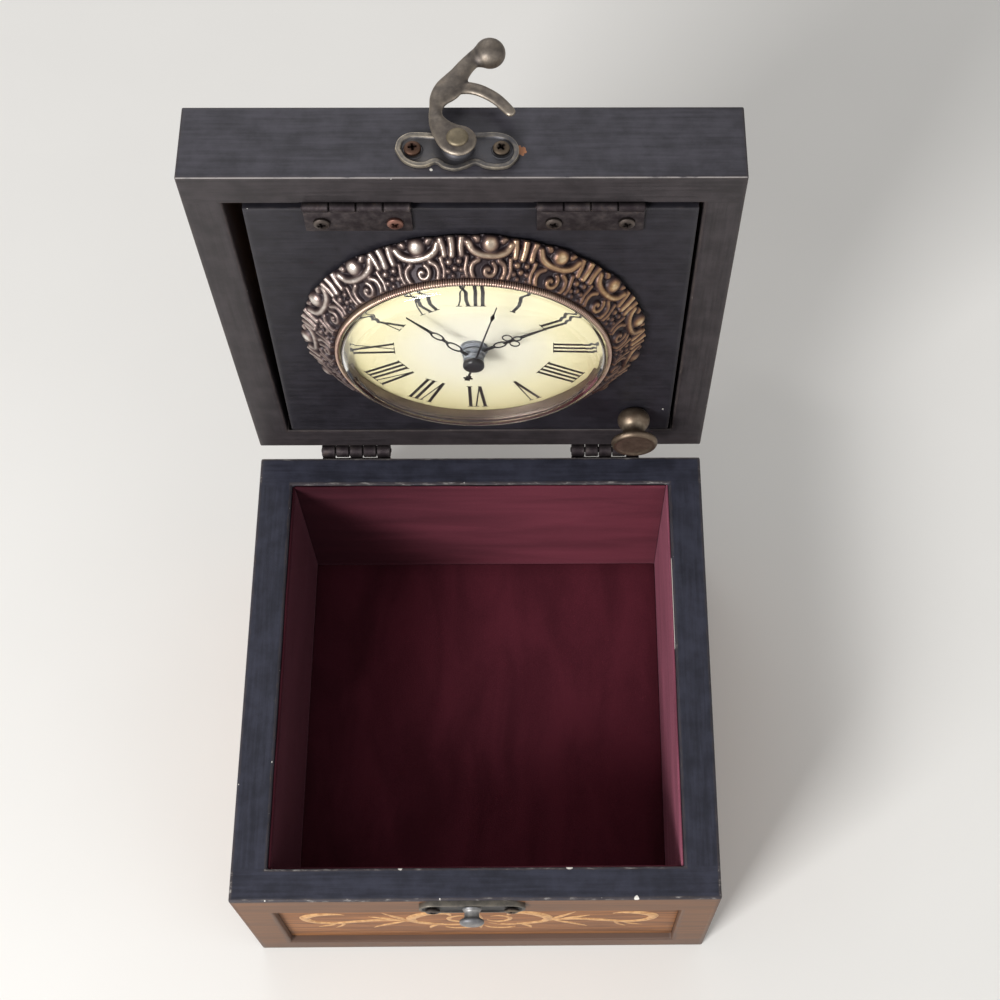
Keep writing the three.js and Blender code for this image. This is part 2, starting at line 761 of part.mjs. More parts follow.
const doorShape = new THREE.Shape();
doorShape.moveTo(-lidInnerX + doorLeftGapFoot, doorFootZ);
doorShape.lineTo(lidInnerX - doorRightGap, doorFootZ);
doorShape.lineTo(lidInnerX - doorRightGap, doorTopZ);
doorShape.lineTo(-lidInnerX + doorLeftGapTop, doorTopZ);
doorShape.closePath();
const doorGeometry = new THREE.ExtrudeGeometry(doorShape, { depth: doorThickness, bevelEnabled: false });
doorGeometry.rotateX(Math.PI / 2);
doorGeometry.translate(0, doorBackY, 0);
let doorPanel = cut(
  toSolid(doorGeometry),
  rod(bushRadius + runGap, -doorThickness - 1, 1, small, 'forward', clockX, lidFaceY, clockZ),
  rod(knobScrewRadius + shankGap, -doorThickness - 1, 1, tiny, 'forward', knobX, lidFaceY, knobZ),
);
const doorLeafOffset = lidFaceY - doorAxisY - seatGap;
const doorLeafFace = lidFaceY - seatGap - doorLeafThickness;
const doorScrewZ = doorAxisZ - doorScrewReach;

for (const [side, hinge] of Object.entries(doorHinges)) {
  let doorLeaf = hingeLeaf(hinge, away.down, away.back, doorHingeReach, doorLeafOffset, 1);
  for (const [hand, share] of Object.entries(screwSides)) {
    const x = hinge.middle + share * doorScrewSpacing;
    const hole = screwHole('forward', x, doorLeafFace, doorScrewZ);
    doorPanel = cut(doorPanel, hole);
    doorLeaf = cut(doorLeaf, hole);
    const screw = screwSolid('forward', x, doorLeafFace, doorScrewZ, doorScrewLength);
    piece(doorGroup, `door_hinge_screw_${side}_${hand}`, screw, agedBrass);
  }
  piece(doorGroup, `door_hinge_leaf_${side}`, doorLeaf, darkSteel);
}
piece(doorGroup, 'door_panel', doorPanel, paintedWood);

// Knob and the screw that holds it from behind

const knobHeadLow = knobReach - knobHeadThickness;
const knobSocket = knobScrewRadius + shankGap;
piece(doorGroup, 'door_knob', turned([
  [knobSocket, seatGap],
  [knobFootRadius, seatGap],
  [knobFootRadius, knobFootHeight * 0.5],
  [knobFootRadius * 0.85, knobFootHeight * 0.85],
  [knobNeckRadius, knobFootHeight],
  [knobNeckRadius, knobHeadLow - 1],
  [knobHeadRadius - 0.5, knobHeadLow],
  [knobHeadRadius, knobHeadLow + 0.6],
  [knobHeadRadius - 0.2, knobReach - 0.6],
  [knobHeadRadius * 0.6, knobReach],
  [0, knobReach],
  [0, knobScrewDepth + shankGap],
  [knobSocket, knobScrewDepth + shankGap],
  [knobSocket, seatGap],
], medium, 'forward', knobX, lidFaceY, knobZ), agedBrass);
const knobScrewBack = -doorThickness - seatGap;
piece(doorGroup, 'knob_screw', turned([
  [0, knobScrewBack - knobScrewHeadHeight],
  [knobScrewHeadRadius * 0.7, knobScrewBack - knobScrewHeadHeight],
  [knobScrewHeadRadius, knobScrewBack - knobScrewHeadHeight * 0.4],
  [knobScrewHeadRadius, knobScrewBack],
  [knobScrewRadius, knobScrewBack],
  [knobScrewRadius, knobScrewDepth],
  [0, knobScrewDepth],
], tiny, 'forward', knobX, lidFaceY, knobZ), greyMetal);

// Clock case: relief skirt, rim with its slanted inner wall, lens and dial

function clockTurned(profile, sides) {
  return turned(profile, sides, 'forward', clockX, lidFaceY, clockZ);
}

// The bezel line runs from the dial's edge up to the rim.
const bezelLowRadius = dialRadius - 0.4;
const bezelLow = dialTop + seatGap;
const bezelHigh = bezelLow + bezelHeight;
const skirtInner = bezelLowRadius + bezelWall + runGap;
const rimOuterRadius = rimInnerRadius + rimWidth;
const skirtShoulder = rimOuterRadius + 0.3;
const skirtFoot = seatGap;

// One slice of the skirt, swollen at the bosses and rippled between them.
function skirtProfile(angle) {
  const wave = Math.cos(skirtRepeats * (angle - skirtTurn));
  const boss = Math.max(wave, 0);
  const ripple = skirtRipple * Math.cos(2 * skirtRepeats * (angle - skirtTurn));
  const span = skirtRadius - skirtShoulder;
  return [
    [ledgeRadius, skirtFoot],
    [ledgeRadius, ledgeHeight],
    [Math.max(skirtInner, dialRadius + runGap), ledgeHeight],
    [rimInnerRadius + bezelWall + runGap, skirtTop],
    [skirtShoulder, skirtTop],
    [skirtShoulder + span * 0.3, skirtTop * 0.8 + ripple],
    [skirtShoulder + span * 0.65, skirtTop * 0.5 + boss * skirtBossRise - ripple],
    [skirtShoulder + span * 0.9 + boss * skirtBossSwell, skirtTop * 0.26 + boss * skirtBossRise],
    [skirtRadius + boss * skirtBossSwell, skirtFoot + 0.8],
    [skirtRadius - 0.6 + boss * skirtBossSwell, skirtFoot],
  ];
}

function skirtSolid() {
  const steps = skirtRepeats * skirtSteps;
  const rows = [];
  for (let i = 0; i < steps; i += 1) {
    const angle = (i / steps) * 2 * Math.PI;
    for (const [radius, height] of skirtProfile(angle)) {
      rows.push(radius * Math.sin(angle), radius * Math.cos(angle), height);
    }
  }
  const count = skirtProfile(0).length;
  const faces = [];
  for (let i = 0; i < steps; i += 1) {
    const here = i * count;
    const next = ((i + 1) % steps) * count;
    for (let j = 0; j < count; j += 1) {
      const k = (j + 1) % count;
      faces.push(here + j, next + j, here + k, here + k, next + j, next + k);
    }
  }
  const geometry = new THREE.BufferGeometry();
  geometry.setAttribute('position', new THREE.Float32BufferAttribute(rows, 3));
  geometry.setIndex(faces);
  return aim(geometry, 'forward', clockX, lidFaceY, clockZ);
}

piece(doorGroup, 'clock_skirt', skirtSolid(), giltMetal);
piece(doorGroup, 'clock_rim', clockTurned([
  [bezelLowRadius, bezelLow],
  [bezelLowRadius + bezelWall, bezelLow],
  [rimInnerRadius + bezelWall, bezelHigh - 0.6],
  [rimOuterRadius, bezelHigh - 0.4],
  [rimOuterRadius + 0.1, rimTop - 0.4],
  [rimOuterRadius - 0.5, rimTop],
  [rimInnerRadius + 0.4, rimTop],
  [rimInnerRadius, bezelHigh],
  [bezelLowRadius, bezelLow],
], fine), rimMetal);
piece(doorGroup, 'clock_dial', clockTurned([
  [bushRadius + runGap, dialTop - dialThickness],
  [dialRadius, dialTop - dialThickness],
  [dialRadius, dialTop],
  [bushRadius + runGap, dialTop],
  [bushRadius + runGap, dialTop - dialThickness],
], fine), dialPaper);

// The lens is a thin dome with a rounded shoulder that drops into the rim.
const lensRadius = rimInnerRadius - 0.4;
const lensFoot = bezelHigh - 0.3;
function lensLine(inset) {
  const points = [];
  const shoulder = lensRadius - 2.6;
  for (const share of [1, 0.6, 0]) {
    const x = shoulder * share;
    const swell = (lensTop - lensShoulder) * (1 - share * share);
    points.push([x * (1 - inset / lensRadius), lensShoulder - inset + swell]);
  }
  return points;
}
piece(doorGroup, 'clock_lens', clockTurned([
  [lensRadius - lensThickness, lensFoot],
  [lensRadius, lensFoot],
  [lensRadius, lensFoot + 0.8],
  [lensRadius - 0.8, lensShoulder - 0.5],
  ...lensLine(0),
  ...lensLine(lensThickness).reverse(),
  [lensRadius - lensThickness, lensFoot + 0.6],
  [lensRadius - lensThickness, lensFoot],
], fine), clearLens);

// Works behind the door: case with threaded bush, nut, cell and setting wheel

const worksFront = -doorThickness - seatGap;
const worksBack = worksFront - worksDepth;
const worksBackY = lidFaceY - worksBack;
const worksFrontY = lidFaceY - worksFront;
const half = worksSize / 2;
const worksShape = new THREE.Shape();
worksShape.moveTo(-half + worksCorner, -half);
worksShape.lineTo(half - worksCorner, -half);
worksShape.absarc(half - worksCorner, -half + worksCorner, worksCorner, -Math.PI / 2, 0, false);
worksShape.absarc(half - worksCorner, half - worksCorner, worksCorner, 0, Math.PI / 2, false);
worksShape.absarc(-half + worksCorner, half - worksCorner, worksCorner, Math.PI / 2, Math.PI, false);
worksShape.absarc(-half + worksCorner, -half + worksCorner, worksCorner, Math.PI, 1.5 * Math.PI, false);
const boreRadius = hourPipeRadius + runGap;
const cellY = worksBackY - batteryRadius - seatGap;
const cellZ = clockZ - batteryDrop;
const bayHalf = batteryLength / 2 + cellTipLength + runGap;
const wheelZ = clockZ + wheelRise;
const wheelFace = worksBack + seatGap;
const works = join(
  extruded(worksShape, worksBack, worksFront, 'forward', clockX, lidFaceY, clockZ, 4),
  rod(bushRadius, worksFront - 1, bushTop, small, 'forward', clockX, lidFaceY, clockZ),
);
piece(doorGroup, 'movement_case', cut(
  works,
  rod(boreRadius, -arborDepth - 1, bushTop + 1, small, 'forward', clockX, lidFaceY, clockZ),
  block(
    clockX - bayHalf, clockX + bayHalf,
    cellY - batteryRadius - seatGap, worksBackY + 1,
    cellZ - batteryRadius - seatGap, cellZ + batteryRadius + seatGap,
  ),
  rod(
    wheelRadius + runGap, worksBack - 1, wheelFace + wheelThickness + runGap,
    medium, 'forward', clockX, lidFaceY, wheelZ,
  ),
  rod(
    wheelShaftRadius + runGap, worksBack - 1, wheelFace + wheelThickness + wheelShaftLength + runGap,
    tiny, 'forward', clockX, lidFaceY, wheelZ,
  ),
), blackPlastic);
piece(doorGroup, 'mounting_nut', tube(
  bushRadius + seatGap, nutRadius, dialTop + seatGap, dialTop + seatGap + nutThickness,
  small, 'forward', clockX, lidFaceY, clockZ,
), greyMetal);
piece(doorGroup, 'battery', turned([
  [0, -batteryLength / 2],
  [batteryRadius - 0.6, -batteryLength / 2],
  [batteryRadius, -batteryLength / 2 + 0.6],
  [batteryRadius, batteryLength / 2 - 0.6],
  [batteryRadius - 0.6, batteryLength / 2],
  [cellTipRadius, batteryLength / 2],
  [cellTipRadius, batteryLength / 2 + cellTipLength],
  [0, batteryLength / 2 + cellTipLength],
], medium, 'right', clockX, cellY, cellZ), cellShell);
piece(doorGroup, 'setting_wheel', turned([
  [0, wheelFace],
  [wheelRadius, wheelFace],
  [wheelRadius, wheelFace + wheelThickness],
  [wheelShaftRadius, wheelFace + wheelThickness],
  [wheelShaftRadius, wheelFace + wheelThickness + wheelShaftLength],
  [0, wheelFace + wheelThickness + wheelShaftLength],
], medium, 'forward', clockX, lidFaceY, wheelZ), blackPlastic);

// Hands. Each blade is drawn pointing up the dial and turned clockwise to its time.

function blade(shape, level, degrees) {
  const geometry = new THREE.ExtrudeGeometry(shape, {
    depth: handThickness, bevelEnabled: false, curveSegments: curveSteps,
  });
  geometry.rotateZ(-THREE.MathUtils.degToRad(degrees));
  geometry.translate(0, 0, level);
  return toSolid(geometry);
}

function ringShape(x, y, rx, ry, wall) {
  const shape = new THREE.Shape();
  shape.absellipse(x, y, rx, ry, 0, 2 * Math.PI, false);
  const hole = new THREE.Path();
  hole.absellipse(x, y, rx - wall, ry - wall, 0, 2 * Math.PI, true);
  shape.holes.push(hole);
  return shape;
}

function barShape(from, to, lowWidth, highWidth) {
  const shape = new THREE.Shape();
  shape.moveTo(-lowWidth / 2, from);
  shape.lineTo(lowWidth / 2, from);
  shape.lineTo(highWidth / 2, to);
  shape.lineTo(-highWidth / 2, to);
  shape.closePath();
  return shape;
}

const loopWall = 0.45;
const hourShapes = [
  barShape(0, hourStem, 1.3, 0.9),
  ringShape(0, hourKnot, 1.5, 2.3, loopWall),
  ringShape(-2, hourTrefoil, 1.7, 1.5, loopWall),
  ringShape(2, hourTrefoil, 1.7, 1.5, loopWall),
  ringShape(0, hourCrown, 1.2, 1.6, loopWall),
  barShape(hourTrefoil - 2.2, hourTrefoil + 1.2, 1.1, 1.1),
  barShape(hourBlade, hourLength, 1.1, 0.25),
];
const minuteShapes = [
  barShape(0, minuteStem, 1.2, 0.8),
  ringShape(0, minuteFirstLoop, 1.5, 3.1, loopWall),
  barShape(minuteBar, minuteSecondLoop - 2.4, 0.8, 0.8),
  ringShape(0, minuteSecondLoop, 1.3, 2.7, loopWall),
  barShape(minuteBlade, minuteLength, 1, 0.25),
];
const secondShapes = [
  barShape(-secondTail, secondLength, 0.7, 0.25),
  barShape(secondLength - 7.6, secondLength - 5.6, 0.3, 1.3),
  barShape(secondLength - 5.6, secondLength - 3.6, 1.3, 0.3),
  barShape(-secondTail + 1.4, -secondTail + 2, 2.6, 2.6),
];

function handSolid(shapes, level, degrees, hub) {
  const blades = shapes.map((shape) => blade(shape, level, degrees));
  return join(hub, ...blades);
}

function placeHand(solid) {
  return aim(toGeometry(solid), 'forward', clockX, lidFaceY, clockZ);
}

function upright(profile, sides) {
  return turned(profile, sides, 'up', 0, 0, 0);
}

const minuteBore = minuteArborRadius + runGap;
const secondBore = secondArborRadius + runGap;
const arborFoot = -arborDepth;
const hourHub = upright([
  [minuteBore, arborFoot],
  [hourPipeRadius, arborFoot],
  [hourPipeRadius, hourLevel],
  [hubRadius, hourLevel],
  [hubRadius, hourLevel + hubHeight],
  [minuteBore, hourLevel + hubHeight],
  [minuteBore, arborFoot],
], small);
const minuteHub = upright([
  [secondBore, arborFoot],
  [minuteArborRadius, arborFoot],
  [minuteArborRadius, minuteLevel - 0.5],
  [hubRadius * 0.9, minuteLevel - 0.5],
  [hubRadius * 0.9, minuteLevel + hubHeight],
  [secondBore, minuteLevel + hubHeight],
  [secondBore, arborFoot],
], small);
const secondHub = upright([
  [0, arborFoot],
  [secondArborRadius, arborFoot],
  [secondArborRadius, secondLevel - 0.4],
  [capRadius, secondLevel - 0.4],
  [capRadius, capTop - 0.6],
  [capRadius * 0.75, capTop],
  [0, capTop],
], small);
const clearOf = (radius, level, height) => rod(radius, level - 1, level + height, small, 'up', 0, 0, 0);
piece(doorGroup, 'hour_hand', placeHand(cut(
  handSolid(hourShapes, hourLevel, hourAngle, hourHub),
  clearOf(minuteBore, hourLevel, 2),
)), blackMetal);
piece(doorGroup, 'minute_hand', placeHand(cut(
  handSolid(minuteShapes, minuteLevel, minuteAngle, minuteHub),
  clearOf(secondBore, minuteLevel, 2),
)), blackMetal);
piece(doorGroup, 'second_hand', placeHand(
  handSolid(secondShapes, secondLevel, secondAngle, secondHub),
), blackMetal);

export default safe;
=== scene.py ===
import json
import math

import bmesh
import bpy
import numpy as np
from mathutils import Matrix, Vector


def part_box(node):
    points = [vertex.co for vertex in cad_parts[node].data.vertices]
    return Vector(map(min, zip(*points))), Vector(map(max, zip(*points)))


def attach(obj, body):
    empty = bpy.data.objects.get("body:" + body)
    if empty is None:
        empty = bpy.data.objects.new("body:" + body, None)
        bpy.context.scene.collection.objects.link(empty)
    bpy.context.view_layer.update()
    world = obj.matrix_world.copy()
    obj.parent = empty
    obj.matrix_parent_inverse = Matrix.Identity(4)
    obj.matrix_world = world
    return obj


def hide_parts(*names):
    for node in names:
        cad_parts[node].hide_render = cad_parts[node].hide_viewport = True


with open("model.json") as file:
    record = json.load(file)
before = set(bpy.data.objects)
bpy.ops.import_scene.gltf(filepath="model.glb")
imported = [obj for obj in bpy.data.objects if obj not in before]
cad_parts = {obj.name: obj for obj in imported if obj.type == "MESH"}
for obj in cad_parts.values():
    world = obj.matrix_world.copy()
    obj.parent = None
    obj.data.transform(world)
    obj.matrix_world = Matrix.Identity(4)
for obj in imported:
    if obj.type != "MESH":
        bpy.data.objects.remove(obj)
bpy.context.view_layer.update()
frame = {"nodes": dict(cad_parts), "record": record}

unit = 0.001  # lengths below are millimetres
scene = bpy.context.scene
upright = Matrix.Identity(4)
moved = Matrix.Translation
even = (1, 1, 1)
slots = {row["node"]: row["material_slot"] for row in frame["record"]["subparts"]}


# Mesh helpers

def startMesh():
    bm = bmesh.new()
    bm.verts.layers.float.new("wear")
    return bm


def toMesh(name, bm):
    mesh = bpy.data.meshes.new(name)
    bm.to_mesh(mesh)
    bm.free()
    return mesh


def addObject(name, data):
    made = bpy.data.objects.new(name, data)
    scene.collection.objects.link(made)
    return made


def outward(bm):
    bmesh.ops.recalc_face_normals(bm, faces=bm.faces)


def moveAll(bm, place):
    bmesh.ops.transform(bm, matrix=place, verts=bm.verts)


def insetFace(bm, face, width, depth=0.0):
    bmesh.ops.inset_region(bm, faces=[face], thickness=width, depth=depth, use_even_offset=True)


def scaled(x, y, z):
    return Matrix.Diagonal((x, y, z, 1))


def turned(degrees, axis="Z"):
    return Matrix.Rotation(math.radians(degrees), 4, axis)


def facing(way, x=0, y=0, z=0):
    # local Z points the named way, at a point
    axes = {
        "forward": ((1, 0, 0), (0, 0, 1), (0, -1, 0)),
        "back": ((-1, 0, 0), (0, 0, 1), (0, 1, 0)),
        "up": ((1, 0, 0), (0, 1, 0), (0, 0, 1)),
        "down": ((1, 0, 0), (0, -1, 0), (0, 0, -1)),
        "right": ((0, 1, 0), (0, 0, 1), (1, 0, 0)),
        "left": ((0, -1, 0), (0, 0, 1), (-1, 0, 0)),
    }[way]
    return moved((x, y, z)) @ Matrix(axes).transposed().to_4x4()


def addBox(bm, low, high, place=upright):
    low, high = Vector(low), Vector(high)
    shape = place @ moved((low + high) / 2) @ scaled(*(high - low))
    return bmesh.ops.create_cube(bm, size=1, matrix=shape)["verts"]


def spinLine(bm, line, steps, place=upright, closed=False):
    # radius and height pairs, turned about the local Z axis
    old = set(bm.verts)
    verts = [bm.verts.new((radius, 0, height)) for radius, height in line]
    pairs = list(zip(verts, verts[1:])) + ([(verts[-1], verts[0])] if closed else [])
    edges = [bm.edges.new(pair) for pair in pairs]
    bmesh.ops.spin(
        bm, geom=verts + edges, cent=(0, 0, 0), axis=(0, 0, 1), angle=2 * math.pi,
        steps=steps, use_merge=True,
    )
    made = [v for v in bm.verts if v not in old]
    bmesh.ops.remove_doubles(bm, verts=made, dist=0.0005)
    made = [v for v in bm.verts if v not in old]
    bmesh.ops.transform(bm, matrix=place, verts=made)


def addPlate(bm, outline, low, high, place=upright):
    # a flat shape between two heights
    verts = [bm.verts.new((x, y, low)) for x, y in outline]
    grown = bmesh.ops.extrude_face_region(bm, geom=[bm.faces.new(verts)])["geom"]
    top = [item for item in grown if isinstance(item, bmesh.types.BMVert)]
    bmesh.ops.translate(bm, vec=(0, 0, high - low), verts=top)
    bmesh.ops.transform(bm, matrix=place, verts=verts + top)


def addFrame(bm, outer, inner, low, high, place=upright):
    # a rectangular frame; outer and inner are left, foot, right and top
    rings = []
    for (left, foot, right, top), level in ((outer, low), (outer, high), (inner, high), (inner, low)):
        corners = ((left, foot), (right, foot), (right, top), (left, top))
        rings.append([bm.verts.new((x, y, level)) for x, y in corners])
    for first, second in zip(rings, rings[1:] + rings[:1]):
        for i in range(4):
            j = (i + 1) % 4
            bm.faces.new((first[i], first[j], second[j], second[i]))
    bmesh.ops.transform(bm, matrix=place, verts=[v for ring in rings for v in ring])
    outward(bm)


def sliceOff(bm, *planes):
    # the part of a closed mesh that lies behind every plane, given as a point and its normal
    out = bm.copy()
    for point, normal in planes:
        cut = bmesh.ops.bisect_plane(
            out, geom=[*out.verts, *out.edges, *out.faces], dist=0.0001, plane_co=point, plane_no=normal,
            clear_outer=True, clear_inner=False,
        )["geom_cut"]
        edges = [item for item in cut if isinstance(item, bmesh.types.BMEdge)]
        bmesh.ops.holes_fill(out, edges=edges, sides=0)
    return out


def addTube(whole, path, sizes, sides, flat, place):
    # rings along a path in the local X-Y plane; flat squashes them along Z
    bm = startMesh()
    points = [Vector((*p, 0)) if len(p) == 2 else Vector(p) for p in path]
    rings = []
    for i, point in enumerate(points):
        along = (points[min(i + 1, len(points) - 1)] - points[max(i - 1, 0)]).normalized()
        side = Vector((0, 0, 1)).cross(along).normalized()
        axes = Matrix((side, along.cross(side), along)).transposed().to_4x4()
        shape = moved(point) @ axes @ scaled(1, flat, 1)
        rings.append(bmesh.ops.create_circle(
            bm, cap_ends=False, segments=sides, radius=sizes[i], matrix=shape,
        )["verts"])
    hoops = [list({e for v in ring for e in v.link_edges}) for ring in rings]
    for low, high in zip(hoops, hoops[1:]):
        bmesh.ops.bridge_loops(bm, edges=low + high)
    bm.faces.new(rings[0])
    bm.faces.new(rings[-1])
    moveAll(bm, place)
    mesh = toMesh("tube", bm)
    whole.from_mesh(mesh)
    bpy.data.meshes.remove(mesh)


def smoothPath(points, steps=6):
    # a soft line through the points
    knots = [Vector(p) for p in points]
    out = []
    for i in range(len(knots) - 1):
        before, start = knots[max(i - 1, 0)], knots[i]
        end, after = knots[i + 1], knots[min(i + 2, len(knots) - 1)]
        for k in range(steps):
            t = k / steps
            out.append(0.5 * (
                2 * start + (end - before) * t
                + (2 * before - 5 * start + 4 * end - after) * t * t
                + (3 * start - before - 3 * end + after) * t * t * t
            ))
    out.append(knots[-1])
    return out


def smoothFlat(points, steps):
    return [(p.x, p.y) for p in smoothPath([(*p, 0) for p in points], steps)]


def brushLine(points):
    # x, y and half width triples become a path and its sizes
    line = smoothPath(points)
    return [(p.x, p.y) for p in line], [max(p.z, 0.05) for p in line]


def sinkFace(bm, normal, low, high, depth):
    # sinks a panel between two corners of the face that looks along normal
    normal = Vector(normal)
    face = max(bm.faces, key=lambda f: (round(f.normal.dot(normal), 2), f.calc_area()))
    centre = face.calc_center_median()
    bmesh.ops.inset_individual(bm, faces=[face], thickness=1, use_even_offset=True)
    for vert in face.verts:
        for axis in range(3):
            if abs(normal[axis]) < 0.5:
                vert.co[axis] = (high if vert.co[axis] > centre[axis] else low)[axis]
    sunk = bmesh.ops.extrude_discrete_faces(bm, faces=[face])["faces"][0]
    for vert in sunk.verts:
        vert.co -= normal * depth


def softenEdges(bm, offset, band=0.0, segments=2, least=30):
    # rounds the sharp edges; they get full wear, which fades over a band beside them
    wear = bm.verts.layers.float["wear"]
    limit = math.radians(least)
    sharp = [e for e in bm.edges if e.is_manifold and e.calc_face_angle(0) > limit]
    rounded = set(bmesh.ops.bevel(
        bm, geom=sharp, offset=offset, offset_type="OFFSET", affect="EDGES",
        segments=segments, profile=0.5, material=-1, clamp_overlap=True,
    )["faces"])
    for face in rounded:
        for vert in face.verts:
            vert[wear] = 1
    if band:
        flat = [
            f for f in bm.faces
            if f not in rounded and min(e.calc_length() for e in f.edges) > 2.2 * band
        ]
        bmesh.ops.inset_region(bm, faces=flat, thickness=band, depth=0, use_boundary=True, use_even_offset=True)
        for face in flat:
            for vert in face.verts:
                vert[wear] = 0


def reshape(bm, kind, settings):
    # runs one modifier on a mesh and gives the result back
    mesh = toMesh("work", bm)
    holder = addObject("work", mesh)
    modifier = holder.modifiers.new("work", kind)
    for key, value in settings.items():
        setattr(modifier, key, value)
    shown = holder.evaluated_get(bpy.context.evaluated_depsgraph_get())
    out = bmesh.new()
    out.from_mesh(shown.to_mesh())
    if "wear" not in out.verts.layers.float:
        out.verts.layers.float.new("wear")
    shown.to_mesh_clear()
    bpy.data.objects.remove(holder)
    bpy.data.meshes.remove(mesh)
    return out


def melt(bm, grain, passes=3):
    # joins overlapping shapes into one cast surface
    out = reshape(bm, "REMESH", {"mode": "VOXEL", "voxel_size": grain})
    for _ in range(passes):
        bmesh.ops.smooth_vert(
            out, verts=out.verts, factor=0.5, use_axis_x=True, use_axis_y=True, use_axis_z=True,
        )
    return out


def cutAway(bm, cutter):
    mesh = toMesh("cutter", cutter)
    tool = addObject("cutter", mesh)
    out = reshape(bm, "BOOLEAN", {"operation": "DIFFERENCE", "object": tool, "solver": "EXACT"})
    bpy.data.objects.remove(tool)
    bpy.data.meshes.remove(mesh)
    return out


def markRaised(bm, gain, passes=3):
    # wear where a point stands out from its neighbours
    wear = bm.verts.layers.float["wear"]
    bm.normal_update()
    marks = {}
    for vert in bm.verts:
        away = [vert.co - e.other_vert(vert).co for e in vert.link_edges]
        marks[vert] = sum(vert.normal.dot(a) / max(a.length, 1e-6) for a in away) / max(len(away), 1)
    for _ in range(passes):
        marks = {
            v: 0.5 * marks[v] + 0.5 * sum(marks[e.other_vert(v)] for e in v.link_edges)
            / max(len(v.link_edges), 1) for v in bm.verts
        }
    for vert in bm.verts:
        vert[wear] = min(max(0.35 + marks[vert] * gain, 0), 1)


def makePiece(name, bm, finishes, body, stands=(), slot=None, angle=40):
    outward(bm)
    bmesh.ops.scale(bm, vec=(unit, unit, unit), verts=bm.verts)
    mesh = toMesh(name, bm)
    for finish in finishes if isinstance(finishes, (list, tuple)) else [finishes]:
        mesh.materials.append(finish)
    mesh.shade_smooth()
    mesh.set_sharp_from_angle(angle=math.radians(angle))
    piece = addObject(name, mesh)
    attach(piece, body)
    if stands:
        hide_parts(*stands)
        slot = slot or slots[stands[0]]


def makeTurned(name, line, steps, place, gain, finish, body, stands, slot=None, angle=40, closed=False):
    # one piece spun from its line; gain brings out the wear of its raised parts
    bm = startMesh()
    spinLine(bm, line, steps, place, closed)
    if gain:
        markRaised(bm, gain)
    makePiece(name, bm, finish, body, stands, slot, angle)


def makeBoard(name, low, high, edge, finish, body, stands=(), slot=None):
    # a plain board, its edges rounded where edge isn't 0
    bm = startMesh()
    addBox(bm, low, high)
    if edge:
        softenEdges(bm, edge)
    makePiece(name, bm, finish, body, stands, slot)


# Finishes

def shade(red, green, blue):
    # a colour as it is seen, 0 to 255
    return tuple(
        c / 255 / 12.92 if c <= 10 else ((c / 255 + 0.055) / 1.055) ** 2.4 for c in (red, green, blue)
    ) + (1,)


def toned(colour, factor, lift=0.0):
    # a darker or lighter shade of a colour
    return tuple(min(c * factor + lift, 1) for c in colour[:3]) + (1,)


class Wire:
    # a socket that does sums
    def __init__(self, finish, socket):
        self.finish = finish
        self.socket = socket

    def maths(self, operation, first, second):
        return self.finish.node("ShaderNodeMath", {"operation": operation}, {0: first, 1: second})

    def __add__(self, other):
        return self.maths("ADD", self, other)

    def __sub__(self, other):
        return self.maths("SUBTRACT", self, other)

    def __rsub__(self, other):
        return self.maths("SUBTRACT", other, self)

    def __mul__(self, other):
        return self.maths("MULTIPLY", self, other)

    def __truediv__(self, other):
        return self.maths("DIVIDE", self, other)

    __radd__ = __add__
    __rmul__ = __mul__


